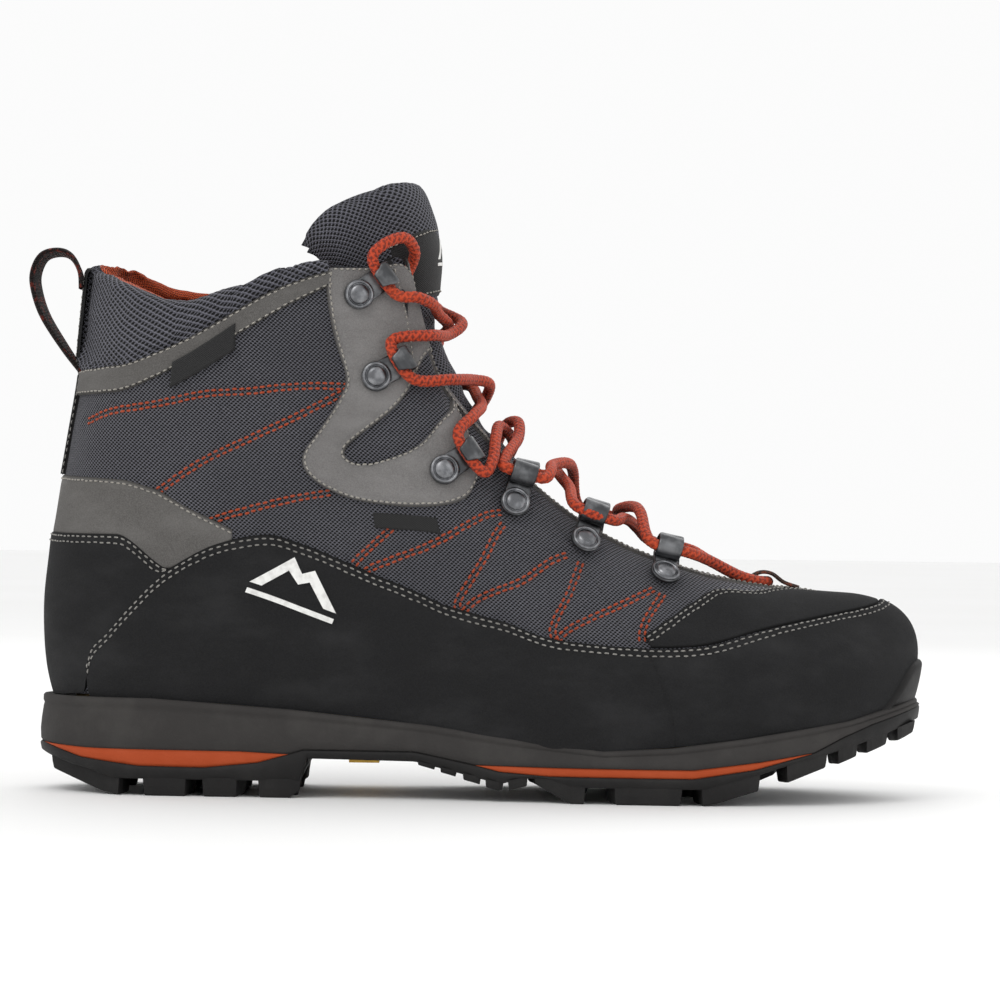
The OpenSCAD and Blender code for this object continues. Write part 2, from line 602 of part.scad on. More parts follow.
// Webbing at the front end of the throat, over the lace's bight
TOE_LOOP = [[85, 69], [89, 71], [92.5, 74.5], [96, 76.3], [100, 75.8], [104, 73], [109, 71.3]];
module toe_loop() {
    line = open_curve(TOE_LOOP, 2);
    n = len(line) - 1;
    half_w = 3.6;
    rows = function (s) [for (y = [-1, 1]) [for (i = [0:n]) let (
        d = unit(line[min(i + 1, n)] - line[max(i - 1, 0)])
    ) [(line[i].x - d.y * s) * stretch.x, y * half_w, grown(line[i].x, line[i].y + d.x * s)]]];
    color("#3a2a24") shell(rows(-0.3), rows(0.9));
}

sides = 8;
module lace() {
    line = [for (p = LACE) scaled(p)];
    n = len(line) - 1;
    ring = function (i) let (
        d = unit(line[min(i + 1, n)] - line[max(i - 1, 0)]),
        a = unit(cross(d, abs(d.z) > 0.9 ? [1, 0, 0] : [0, 0, 1])),
        b = cross(d, a)
    ) [for (k = [0:sides - 1]) line[i] + lace_d / 2 * (cos(360 * k / sides)
        * a + sin(360 * k / sides) * b)];
    faces = flat([for (i = [0:n - 1]) flat([for (k = [0:sides - 1]) let (
        a = i * sides + k,
        b = i * sides + (k + 1) % sides
    ) [[a, b + sides, b], [a, a + sides, b + sides]]])]);
    first = [for (k = [0:sides - 1]) k];
    last = [for (k = [sides - 1:-1:0]) n * sides + k];
    color("#d2461c") polyhedron(flat([for (i = [0:n]) ring(i)]), concat(faces, [first, last]));
}

tip_l = 18;
module lace_tips() {
    n = len(LACE) - 1;
    color("#1c1c1c") for (e = [[0, 1], [n, n - 1]]) {
        p = scaled(LACE[e[0]]);
        d = unit(p - scaled(LACE[e[1]]));
        a = unit(cross(d, [1, 0, 0]));
        b = cross(d, a);
        multmatrix([[a.x, b.x, d.x, p.x], [a.y, b.y, d.y, p.y], [a.z, b.z, d.z, p.z], [0, 0, 0, 1]])
            cylinder(d = lace_d, h = tip_l);
    }
}

outsole();
midsole();
heel_insert();
forefoot_insert();
waist_inlay();
toe_bumper();
shank();
lasting_board();
footbed();
quarter_lateral();
vamp();
quarter_medial();
lining();
heel_counter();
toe_puff();
rand_lateral();
toe_rand();
rand_medial();
toe_overlay();
heel_panel();
heel_patch();
cuff_band_lateral();
cuff_band_medial();
collar_lateral();
collar_medial();
collar_lining();
eyestay_lateral();
eyestay_medial();
throat_binding_lateral();
throat_binding_medial();
back_strip();
pull_loop();
tongue_lower();
tongue_upper();
tongue_label();
side_tag();
model_tag();
side_badge();
top_hooks();
top_hook_rivets();
lock_hooks();
lock_hook_rivets();
lace_loops();
lace_loop_rivets();
toe_loop();
lace();
lace_tips();
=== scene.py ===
import json
import math

import bmesh
import bpy
import numpy as np
from mathutils import Matrix, Vector

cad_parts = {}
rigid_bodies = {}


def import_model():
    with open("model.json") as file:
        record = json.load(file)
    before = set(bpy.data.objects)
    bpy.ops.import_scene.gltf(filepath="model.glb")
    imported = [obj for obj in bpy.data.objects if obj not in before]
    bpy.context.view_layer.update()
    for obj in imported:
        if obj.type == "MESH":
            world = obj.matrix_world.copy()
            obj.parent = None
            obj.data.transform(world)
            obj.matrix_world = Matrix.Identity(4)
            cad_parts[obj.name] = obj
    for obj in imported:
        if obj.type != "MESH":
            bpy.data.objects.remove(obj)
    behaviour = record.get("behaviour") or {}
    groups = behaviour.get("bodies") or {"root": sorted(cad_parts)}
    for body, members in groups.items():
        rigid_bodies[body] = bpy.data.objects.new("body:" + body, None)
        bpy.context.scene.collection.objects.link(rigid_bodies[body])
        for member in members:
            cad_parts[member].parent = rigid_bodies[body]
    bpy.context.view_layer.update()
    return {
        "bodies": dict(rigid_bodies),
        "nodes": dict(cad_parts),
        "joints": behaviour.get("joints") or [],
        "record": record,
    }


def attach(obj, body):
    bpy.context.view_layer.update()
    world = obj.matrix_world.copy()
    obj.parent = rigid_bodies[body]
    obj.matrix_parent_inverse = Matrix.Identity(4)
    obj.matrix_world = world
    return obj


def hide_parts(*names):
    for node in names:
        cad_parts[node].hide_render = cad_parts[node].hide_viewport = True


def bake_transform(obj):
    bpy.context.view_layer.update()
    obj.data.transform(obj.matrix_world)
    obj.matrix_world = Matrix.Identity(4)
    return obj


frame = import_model()
MM = 0.001

# ---------------------------------------------------------------------------
# Camera, floor and lights
# A pale table in a white room with large soft lamps, seen square on to the outer side of the boot
# from a little under its mid height.
# ---------------------------------------------------------------------------
scene = bpy.context.scene
camera = bpy.data.objects.new("camera", bpy.data.cameras.new("camera"))
scene.collection.objects.link(camera)
camera.location = (0.00714, -1.43, 0.0996)
camera.matrix_world = (Matrix.Translation(camera.location) @ Matrix.Rotation(math.radians(90), 4, "X")
                       @ Matrix.Rotation(math.radians(0.75), 4, "Z"))
camera.data.sensor_width = 36
camera.data.lens = 36 * 1.43 / 0.34
camera.data.clip_end = 30
scene.camera = camera

world = bpy.data.worlds.new("room")
scene.world = world
world.use_nodes = True
world.node_tree.nodes["Background"].inputs[0].default_value = (1, 1, 1, 1)
world.node_tree.nodes["Background"].inputs[1].default_value = 0.97
scene.view_settings.view_transform = "Standard"


def lamp(name, at, aim, size, watts, colour=(1, 1, 1)):
    data = bpy.data.lights.new(name, "AREA")
    data.shape = "RECTANGLE"
    data.size, data.size_y = size
    data.energy = watts
    data.color = colour
    ob = bpy.data.objects.new(name, data)
    scene.collection.objects.link(ob)
    ob.location = at
    ob.rotation_euler = (Vector(aim) - Vector(at)).to_track_quat("-Z", "Y").to_euler()
    return ob


lamp("key_lamp", (-0.55, -0.9, 1.2), (0, 0, 0.08), (0.8, 0.6), 4.6, (1.0, 0.99, 0.97))
lamp("front_fill", (0.8, -1.3, 0.5), (0, 0, 0.08), (0.7, 0.7), 1.2, (0.96, 0.98, 1.0))
lamp("back_lamp", (0.35, 1.0, 0.9), (0, 0, 0.1), (1.2, 0.6), 3.2)


def mesh_object(name, verts, faces, material=None, smooth=True, uv=None, values=None):
    """A mesh from points in millimetres. uv is one pair for each vertex; values are named numbers for each vertex."""
    me = bpy.data.meshes.new(name)
    me.from_pydata((np.asarray(verts, float) * MM).tolist(), [], [tuple(int(i) for i in f) for f in faces])
    me.validate()
    if uv is not None:
        layer = me.uv_layers.new(name="weave")
        corners = np.zeros(len(me.loops), int)
        me.loops.foreach_get("vertex_index", corners)
        layer.data.foreach_set("uv", np.asarray(uv, float)[corners].ravel())
    for key, v in (values or {}).items():
        me.attributes.new(key, "FLOAT", "POINT").data.foreach_set("value", np.asarray(v, np.float32))
    if smooth:
        me.polygons.foreach_set("use_smooth", [True] * len(me.polygons))
    ob = bpy.data.objects.new(name, me)
    scene.collection.objects.link(ob)
    if material:
        me.materials.append(material)
    return ob


class Nodes:
    """A material written as a short list of nodes."""

    def __init__(self, name):
        self.material = bpy.data.materials.new(name)
        self.material.use_nodes = True
        self.tree = self.material.node_tree
        self.shader = self.tree.nodes["Principled BSDF"]

    def add(self, kind, out=0, **sockets):
        node = self.tree.nodes.new(kind)
        for key, value in sockets.items():
            if key.startswith("_"):
                index = int(key[1:])
                self.put(node.inputs[index], value)
            elif key in node.inputs:
                self.put(node.inputs[key], value)
            elif key.replace("_", " ").title() in node.inputs:
                self.put(node.inputs[key.replace("_", " ").title()], value)
            else:
                setattr(node, key, value)
        return node.outputs[out]

    def put(self, socket, value):
        if isinstance(value, bpy.types.NodeSocket):
            self.tree.links.new(value, socket)
        else:
            socket.default_value = value

    def math(self, op, a, b=0.0, c=0.0, clamp=False):
        node = self.tree.nodes.new("ShaderNodeMath")
        node.operation = op
        node.use_clamp = clamp
        for i, v in enumerate((a, b, c)):
            self.put(node.inputs[i], v)
        return node.outputs[0]

    def vec(self, op, a, b=(0, 0, 0)):
        node = self.tree.nodes.new("ShaderNodeVectorMath")
        node.operation = op
        self.put(node.inputs[0], a)
        if op == "SCALE":
            self.put(node.inputs["Scale"], b)
        elif op not in ("LENGTH", "FRACTION"):
            self.put(node.inputs[1], b)
        return node.outputs["Value"] if op == "LENGTH" else node.outputs[0]

    def noise(self, scale, detail=3.0, rough=0.5, at=None):
        return self.add("ShaderNodeTexNoise", scale=scale, detail=detail, roughness=rough,
                        vector=at if at is not None else self.place())

    def place(self):
        return self.add("ShaderNodeTexCoord", out=3)

    def uv(self):
        return self.add("ShaderNodeUVMap", uv_map="weave")

    def split(self, v):
        node = self.tree.nodes.new("ShaderNodeSeparateXYZ")
        self.put(node.inputs[0], v)
        return node.outputs[0], node.outputs[1]

    def join(self, x, y, z=0.0):
        node = self.tree.nodes.new("ShaderNodeCombineXYZ")
        for i, v in enumerate((x, y, z)):
            self.put(node.inputs[i], v)
        return node.outputs[0]

    def value(self, name):
        return self.add("ShaderNodeAttribute", out=2, attribute_name=name)

    def between(self, v, low, high, a=0.0, b=1.0):
        node = self.tree.nodes.new("ShaderNodeMapRange")
        node.interpolation_type = "SMOOTHSTEP"
        for i, x in enumerate((v, low, high, a, b)):
            self.put(node.inputs[i], x)
        return node.outputs[0]

    def mix(self, fac, a, b, blend="MIX"):
        node = self.tree.nodes.new("ShaderNodeMix")
        node.data_type = "RGBA"
        node.blend_type = blend
        self.put(node.inputs[0], fac)
        self.put(node.inputs[6], a if isinstance(a, bpy.types.NodeSocket) else (*a, 1) if len(a) == 3 else a)
        self.put(node.inputs[7], b if isinstance(b, bpy.types.NodeSocket) else (*b, 1) if len(b) == 3 else b)
        return node.outputs[2]

    def finish(self, colour, rough=None, height=None, depth=0.3, **fixed):
        """depth is the height of the bumps in millimetres."""
        self.put(self.shader.inputs["Base Color"],
                 colour if isinstance(colour, bpy.types.NodeSocket) else (*colour, 1))
        if rough is not None:
            self.put(self.shader.inputs["Roughness"], rough)
        if height is not None:
            bump = self.tree.nodes.new("ShaderNodeBump")
            bump.inputs["Strength"].default_value = 1
            bump.inputs["Distance"].default_value = depth * MM
            self.put(bump.inputs["Height"], height)
            self.tree.links.new(bump.outputs[0], self.shader.inputs["Normal"])
        for key, v in fixed.items():
            self.shader.inputs[key.replace("_", " ")].default_value = v
        return self.material


def srgb(code):
    """A colour in the shader's own scale from a hex code."""
    parts = [int(code[i:i + 2], 16) / 255 for i in (0, 2, 4)]
    return tuple(c / 12.92 if c <= 0.04045 else ((c + 0.055) / 1.055) ** 2.4 for c in parts)


m = Nodes("pale_table")
m.finish(m.mix(m.noise(3, 4), srgb("f4f4f3"), srgb("fafafa")), 0.7, m.noise(900, 2), 0.02)
floor = mesh_object("floor", [(-6000, -6000, 0), (6000, -6000, 0), (6000, 6000, 0), (-6000, 6000, 0)],
                    [(0, 1, 2, 3)], m.material, smooth=False)

# ---------------------------------------------------------------------------
# The shape of the upper
# Ribs climb from the sole's edge to the top line, numbered round from the heel seam over the outer
# side (0 to 9) to the toe and back over the inner side (9 to 18). Sizes are in millimetres.
# ---------------------------------------------------------------------------
RIBS = np.array([
    [[-143.5, 0, 31], [-156.5, 0, 70], [-134, 0, 120], [-134, 0, 180]],
    [[-134, -21, 31], [-144, -29, 70], [-125, -22, 120], [-122, -27, 174.5]],
    [[-108, -32, 31], [-110, -40, 72], [-103, -31, 120], [-100, -38, 167]],
    [[-62, -34, 28], [-62, -42, 75], [-66, -35, 125], [-66, -39, 179]],
    [[-15, -40, 23.5], [-12, -50, 75], [-32, -34, 120], [-38, -33, 181.5]],
    [[11, -44.5, 19.5], [12, -53, 62], [-15, -31, 122], [-24.5, -29, 180]],
    [[36, -49, 16.5], [36, -57, 50], [10, -28, 105], [-19, -25, 150]],
    [[86, -49, 20.7], [88, -58, 45], [48, -33, 86], [20.5, -19, 102.8]],
    [[125, -34, 26.6], [130, -42, 52], [97, -25, 76], [59, -15, 79]],
    [[147, 4, 32], [157, 4, 62], [144, 2, 74], [105, 0, 69.3]],
    [[133, 35, 28], [138, 42, 52], [99, 25, 76], [59, 15, 79]],
    [[94, 49, 22.4], [97, 56, 45], [50, 33, 86], [20.5, 19, 102.8]],
    [[44, 46, 15.8], [42, 52, 55], [10, 28, 105], [-19, 25, 150]],
    [[15, 39, 19.5], [14, 46, 65], [-15, 31, 122], [-24.5, 29, 180]],
    [[-12, 33, 23], [-10, 43, 75], [-32, 34, 120], [-38, 33, 181.5]],
    [[-62, 29, 28], [-62, 37, 75], [-66, 36, 125], [-66, 39, 180]],
    [[-108, 31, 31], [-110, 38, 72], [-103, 31, 120], [-99, 38, 173]],
    [[-134, 21, 31], [-144, 28, 70], [-125, 22, 120], [-122, 27, 180]],
], float)
TURN = len(RIBS)
# How far the mesh panels lie under the suede's face, and how thick they are
MESH_IN, MESH = 1.6, 1.4
rng = np.random.default_rng(7)


def through(a, b, c, d, u):
    return 0.5 * (2 * b + (c - a) * u + (2 * a - 5 * b + 4 * c - d) * u * u + (3 * b - a - 3 * c + d) * u ** 3)


def skin(q, t):
    q, t = np.broadcast_arrays(np.asarray(q, float), np.asarray(t, float))
    i = np.floor(q).astype(int)
    u = (q - i)[..., None]
    h = [through(*(RIBS[(i + k) % TURN, j] for k in (-1, 0, 1, 2)), u) for j in range(4)]
    t = t[..., None]
    return (1 - t) ** 3 * h[0] + 3 * t * (1 - t) ** 2 * h[1] + 3 * t * t * (1 - t) * h[2] + t ** 3 * h[3]


def unit(v):
    return v / np.maximum(np.linalg.norm(v, axis=-1, keepdims=True), 1e-9)


def out(q, t):
    e = 0.01
    return unit(np.cross(skin(q + e, t) - skin(q - e, t), skin(q, t + e) - skin(q, t - e)))


def curve(points, n):
    """A smooth open curve through points, n samples a span."""
    p = np.asarray(points, float)
    p = np.vstack([2 * p[0] - p[1], p, 2 * p[-1] - p[-2]])
    rows = []
    for i in range(1, len(p) - 2):
        u = np.linspace(0, 1, n, endpoint=False)[:, None]
        rows.append(through(p[i - 1], p[i], p[i + 1], p[i + 2], u))
    return np.vstack(rows + [p[-2:-1]])


def even(path, step):
    """Points a fixed step apart along a path, with their distances from its start."""
    d = np.r_[0, np.cumsum(np.linalg.norm(np.diff(path, axis=0), axis=1))]
    n = max(int(round(d[-1] / step)), 1)
    s = np.linspace(0, d[-1], n + 1)
    return np.stack([np.interp(s, d, path[:, k]) for k in range(path.shape[1])], 1), s


def edge(table):
    """A smooth edge line: height along the rib for each rib number, with no overshoot between its points."""
    x, y = np.array(table, float).T
    h, s = np.diff(x), np.diff(y) / np.diff(x)
    m0 = np.zeros(len(x))
    m0[0], m0[-1] = s[0], s[-1]
    same = s[:-1] * s[1:] > 0
    m0[1:-1][same] = (2 * s[:-1] * s[1:] / (s[:-1] + s[1:] + (~same) * 1.0))[same]

    def f(q):
        q = np.asarray(q, float)
        q = np.clip(np.minimum(q, TURN - q), x[0], x[-1])
        i = np.clip(np.searchsorted(x, q, side="right") - 1, 0, len(h) - 1)
        u = (q - x[i]) / h[i]
        return ((2 * u ** 3 - 3 * u ** 2 + 1) * y[i] + (u ** 3 - 2 * u ** 2 + u) * h[i] * m0[i]
                + (3 * u ** 2 - 2 * u ** 3) * y[i + 1] + (u ** 3 - u ** 2) * h[i] * m0[i + 1])
    return f


def unrolled(q, t):
    """Cloth coordinates in millimetres: along the boot, and up the rib."""
    t, q = np.broadcast_arrays(np.asarray(t, float), np.asarray(q, float))
    p = skin(q, t)
    s = np.minimum(q, TURN - q)
    back = np.linspace(0, 1, 12)
    u = p[..., 0].copy()
    heel = s < 2
    if heel.any():
        qs = s[heel][:, None] + (2 - s[heel])[:, None] * back[None]
        arc = np.linalg.norm(np.diff(skin(qs, np.repeat(t[heel][:, None], 12, 1)), axis=1), axis=2).sum(1)
        u[heel] = skin(np.full(arc.shape, 2.0), t[heel])[:, 0] - arc
    ts = t[..., None] * np.linspace(0, 1, 24)
    g = skin(np.repeat(q[..., None], 24, -1), ts)
    v = g[..., 0, 2] + np.linalg.norm(np.diff(g[..., 1:], axis=-2), axis=-1).sum(-1)
    return np.stack([u, v], -1)


def grid_faces(rows, cols, wrap=False):
    a = np.arange(rows - 1)[:, None] * cols + np.arange(cols if wrap else cols - 1)[None]
    b = np.arange(rows - 1)[:, None] * cols + (np.arange(cols if wrap else cols - 1)[None] + 1) % cols
    return np.stack([a, b, b + cols, a + cols], -1).reshape(-1, 4)


class Patch:
    """A panel lying on the upper. low and high give the rib number and height of its two long edges at s from
    0 to 1. Its edges roll down to the layer below, and its stitch rows sink into it."""

    def __init__(self, low, high, step=1.6, rows=None, depth=0.0, base=MESH_IN, roll=1.1, ends=(True, True),
                 long_ends=(True, True), rows_at=(), dent=0.28, lumps=0.12, seed=1, hollow=None, back=0.0):
        s = np.linspace(0, 1, 400)
        a, b = low(s), high(s)
        mid = skin((a[:, 0] + b[:, 0]) / 2, (a[:, 1] + b[:, 1]) / 2)
        far = np.maximum(np.linalg.norm(np.diff(skin(a[:, 0], a[:, 1]), axis=0), axis=1),
                         np.linalg.norm(np.diff(skin(b[:, 0], b[:, 1]), axis=0), axis=1))
        d = np.r_[0, np.cumsum(np.maximum(far, np.linalg.norm(np.diff(mid, axis=0), axis=1)))]
        self.length = d[-1]
        n = max(int(d[-1] / step), 6)
        marks = np.linspace(0, d[-1], n + 1)
        fine = np.array([0.25, 0.55, 0.9, 1.4])
        if ends[0]:
            marks = np.r_[marks, fine]
        if ends[1]:
            marks = np.r_[marks, d[-1] - fine]
        marks = np.unique(np.round(marks, 3))
        self.s = np.interp(marks, d, s)
        self.s_of = lambda x: np.interp(x, d, s)
        self.low, self.high = low, high
        a, b = low(self.s), high(self.s)
        w = np.linspace(0, 1, 40)
        qq = a[:, None, 0] + (b - a)[:, None, 0] * w
        tt = a[:, None, 1] + (b - a)[:, None, 1] * w
        g = skin(qq, tt)
        arc = np.concatenate([np.zeros((len(marks), 1)), np.cumsum(np.linalg.norm(np.diff(g, axis=1), axis=2), 1)], 1)
        width = arc[:, -1]
        pitch = step if rows is None else width.max() / rows
        inner = max(int(round((width.max() - 5) / pitch)), 2)
        rim = np.array([0, 0.25, 0.55, 0.9, 1.4, 2.0])
        x = np.zeros((len(marks), 2 * len(rim) + inner - 1))
        for i, wd in enumerate(width):
            k = min(1.0, wd / 6.0)
            r = rim * k
            x[i] = np.r_[r, np.linspace(r[-1], wd - r[-1], inner + 1)[1:-1], (wd - r)[::-1]]
        f = np.stack([np.interp(x[i], arc[i], w) for i in range(len(marks))])
        self.q = a[:, None, 0] + (b - a)[:, None, 0] * f
        self.t = a[:, None, 1] + (b - a)[:, None, 1] * f
        p, nrm = skin(self.q, self.t), out(self.q, self.t)
        dist_low = x if long_ends[0] else np.full_like(x, 99)
        dist_high = width[:, None] - x if long_ends[1] else np.full_like(x, 99)
        along = np.repeat(marks[:, None], x.shape[1], 1)
        dist_a = along if ends[0] else np.full_like(x, 99)
        dist_b = d[-1] - along if ends[1] else np.full_like(x, 99)
        near = np.minimum(np.minimum(dist_low, dist_high), np.minimum(dist_a, dist_b))
        h = (base - depth) * np.sqrt(np.clip(1 - (1 - np.clip(near / roll, 0, 1)) ** 2, 0, 1))
        for r in rows_at:
            h -= dent * np.exp(-((near - r) / 0.7) ** 2) * (h > 0.3)
        wobble = (np.sin(p[..., 0] * 0.11 + seed) * np.sin(p[..., 2] * 0.13 + 2 * seed)
                  + 0.6 * np.sin(p[..., 0] * 0.29 + p[..., 2] * 0.23 + seed))
        h += lumps * wobble * np.clip(near / 4, 0, 1)
        if hollow is not None:
            h += hollow(self.q, self.t, p, near)
        self.near, self.height = near, h
        self.p = p + nrm * (h - base)[..., None]
        self.n = nrm
        self.width, self.marks, self.base, self.depth, self.back = width, marks, base, depth, back

    def make(self, name, material):
        rows, cols = self.q.shape
        uv = unrolled(self.q, self.t).reshape(-1, 2)
        faces = grid_faces(rows, cols)
        if np.dot(np.cross(self.p[1, 0] - self.p[0, 0], self.p[0, 1] - self.p[0, 0]), self.n[0, 0]) < 0:
            faces = faces[:, ::-1]
        verts = self.p.reshape(-1, 3)
        # the underside follows the layer below, a little inside it
        under = (self.p - self.n * (self.height + 0.12 + self.back)[..., None]).reshape(-1, 3)
        n = len(verts)
        rim = np.r_[np.arange(cols), np.arange(1, rows) * cols + cols - 1,
                    (rows - 1) * cols + np.arange(cols - 2, -1, -1), np.arange(rows - 2, 0, -1) * cols]
        nxt = np.roll(rim, -1)
        sides = np.stack([rim, nxt, nxt + n, rim + n], 1)
        a, b = self.p[1, 0] - self.p[0, 0], self.p[0, 1] - self.p[0, 0]
        if np.dot(np.cross(a, b), self.n[0, 0]) < 0:
            sides = sides[:, ::-1]
        faces = np.vstack([faces, (faces + n)[:, ::-1], sides])
        # the distance from the edge, which the suede reads for its painted seam shade
        near = np.r_[self.near.ravel(), np.zeros(n)]
        return mesh_object(name, np.vstack([verts, under]), faces, material, uv=np.vstack([uv, uv]),
                           values={"rim": near})

    def row(self, offset, side, ends=(0, 0)):
        """The line of a stitch row at a distance from one long edge ('low' or 'high')."""
        rows = []
        first, last = ends[0], self.length - ends[1]
        for k, mark in enumerate(self.marks):
            if mark < first - 0.01 or mark > last + 0.01:
                continue
            arc = np.r_[0, np.cumsum(np.linalg.norm(np.diff(self.p[k], axis=0), axis=1))]
            x = min(offset, arc[-1] / 2) if side == "low" else arc[-1] - min(offset, arc[-1] / 2)
            rows.append([np.interp(x, arc, self.p[k, :, j]) for j in range(3)]
                        + [np.interp(x, arc, self.n[k, :, j]) for j in range(3)])
        return np.array(rows)

    def cross(self, offset, end, inset=0.0):
        """The line of a stitch row across the panel at a distance from one end (0 or 1)."""
        mark = offset if end == 0 else self.length - offset
        k = int(np.argmin(abs(self.marks - mark)))
        row = np.hstack([self.p[k], unit(self.n[k])])
        arc = np.r_[0, np.cumsum(np.linalg.norm(np.diff(self.p[k], axis=0), axis=1))]
        return row[(arc >= inset) & (arc <= arc[-1] - inset)]


def band(q0, q1, low, high):
    lo, hi = edge(low) if not callable(low) else low, edge(high) if not callable(high) else high
    f = lambda s: np.stack([q0 + (q1 - q0) * s, lo(q0 + (q1 - q0) * s)], -1)
    g = lambda s: np.stack([q0 + (q1 - q0) * s, hi(q0 + (q1 - q0) * s)], -1)
    return f, g


class Thread:
    """Rows of stitches gathered into one piece."""

    def __init__(self):
        self.v, self.f, self.uv = [], [], []
        self.hole_v, self.hole_f = [], []
        self.count = 0

    def stitch(self, a, b, n, width, rise):
        d = unit(b - a)
        n = unit(n)
        side = np.cross(d, n)
        length = np.linalg.norm(b - a)
        rings = [(0.0, 0.15, -0.35), (0.1, 0.75, 0.15), (0.35, 1.0, 0.75), (0.65, 1.0, 0.75), (0.9, 0.75, 0.15),
                 (1.0, 0.15, -0.35)]
        for u, r, z in rings:
            c = a + d * length * u + n * rise * z
            for k in range(6):
                ang = math.pi * k / 3
                self.v.append(c + (side * math.cos(ang) + n * math.sin(ang) * 0.8) * width / 2 * r)
                self.uv.append((length * u, k / 6))
        m0 = self.count
        for i in range(5):
            for k in range(6):
                a0, b0 = m0 + i * 6 + k, m0 + i * 6 + (k + 1) % 6
                self.f.append((a0, b0, b0 + 6, a0 + 6))
        self.f.append(tuple(m0 + k for k in range(5, -1, -1)))
        self.f.append(tuple(m0 + 30 + k for k in range(6)))
        self.count += 36

    def run(self, path, pitch=2.6, length=1.6, width=0.55, rise=0.2, holes=0.36):
        """path has a point and a direction out of the cloth in each row."""
        if len(path) < 2:
            return
        line, s = even(np.asarray(path, float), pitch)
        for i in range(len(line) - 1):
            a, b = line[i], line[i + 1]
            step = np.linalg.norm(b[:3] - a[:3])
            if step < 0.4 * pitch:
                continue
            cut = (1 - length / pitch) / 2
            jitter = rng.normal(0, 0.06, 3)
            self.stitch(a[:3] + (b[:3] - a[:3]) * cut + jitter, a[:3] + (b[:3] - a[:3]) * (1 - cut) + jitter,
                        (a[3:] + b[3:]) / 2, width, rise)
            # a dark disc of painted shade marks each needle hole
            if holes:
                self.hole(a[:3], unit(a[3:]), holes)

    def make(self, name, material, body="boot"):
        ob = mesh_object(name, self.v, self.f, material, uv=self.uv)
        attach(ob, body)
        # the needle holes' painted shade discs are a piece of their own
        if self.hole_v:
            ob = mesh_object(name.replace("stitches", "needle_hole_shade_discs"), self.hole_v, self.hole_f, NEEDLE_HOLE_SHADE)
            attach(ob, body)
        return ob

    def hole(self, p, n, r):
        """A small dark cone where the needle went through the cloth: painted shade standing for the shadow in the
        hole.
        """
        x = unit(np.cross(n, [0.3, 0.5, 0.9]))
        y = np.cross(n, x)
        k = len(self.hole_v)
        self.hole_v.append(p + n * 0.1)
        for i in range(6):
            a = math.pi * i / 3
            self.hole_v.append(p + (x * math.cos(a) + y * math.sin(a)) * r - n * 0.12)
        self.hole_f += [(k, k + 1 + i, k + 1 + (i + 1) % 6) for i in range(6)]


# Near-black discs at the needle holes: painted shade, standing for the shadow down each hole.
m = Nodes("needle_hole_painted_shade")
m.finish(m.mix(m.noise(900, 2), srgb("060606"), srgb("141312")), 1.0, m.noise(2000, 2), 0.05, Specular_IOR_Level=0.0)
NEEDLE_HOLE_SHADE = m.material


def thread_cloth(name, colour, dark):
    t = Nodes(name)
    x, y = t.split(t.uv())
    twist = t.math("SINE", t.math("ADD", t.math("MULTIPLY", x, 14.0), t.math("MULTIPLY", y, 6.283)))
    fibre = t.noise(2600, 2)
    shade = t.mix(t.between(twist, -0.9, 0.7), dark, colour)
    shade = t.mix(t.between(t.noise(60, 2), 0.35, 0.7, 0.0, 0.35), shade, dark)
    return t.finish(shade, 0.62, t.math("ADD", t.between(twist, -1.0, 1.0), t.math("MULTIPLY", fibre, 0.4)), 0.12,
                    Sheen_Weight=0.06, Sheen_Roughness=0.5)


def suede(name, colour, light, dark, edge_seam_shade, sheen):
    s = Nodes(name)
    place = s.place()
    nap = s.noise(2400, 6, 0.75)
    grain = s.add("ShaderNodeTexVoronoi", scale=1500.0, vector=place)
    brushed = s.noise(34, 5, 0.62, s.vec("MULTIPLY", place, (1.0, 1.0, 2.1)))
    cloud = s.noise(16, 4, 0.55)
    c = s.mix(s.between(nap, 0.34, 0.68), dark, colour)
    c = s.mix(s.between(brushed, 0.42, 0.75, 0.0, 0.45), c, light)
    c = s.mix(s.between(cloud, 0.5, 0.75, 0.0, 0.35), c, dark)
    # darker at each panel's cut edge and over its roll down to the layer below: painted shade in the seam
    c = s.mix(s.between(s.value("rim"), 0.2, 1.1, 0.75, 0.0), c, edge_seam_shade)
    fine = s.math("ADD", s.math("MULTIPLY", nap, 0.8), s.math("MULTIPLY", grain, 0.4))
    height = s.math("ADD", fine, s.math("MULTIPLY", brushed, 0.5))
    return s.finish(c, s.between(brushed, 0.3, 0.8, 0.97, 0.86), height, 0.22,
                    Sheen_Weight=sheen, Sheen_Roughness=0.45, Sheen_Tint=(*light, 1), Specular_IOR_Level=0.25)


# The fourth colour of each is painted shade for the seam along the panel edges.
BLACK_SUEDE = suede("black_suede", srgb("242425"), srgb("2e2e2f"), srgb("181819"), srgb("0c0c0c"), 0.04)
GREY_SUEDE = suede("grey_suede", srgb("7b7978"), srgb("898786"), srgb("636160"), srgb("474543"), 0.08)
DARK_GREY_SUEDE = suede("dark_grey_suede", srgb("666462"), srgb("747270"), srgb("4f4d4b"), srgb("393735"), 0.06)


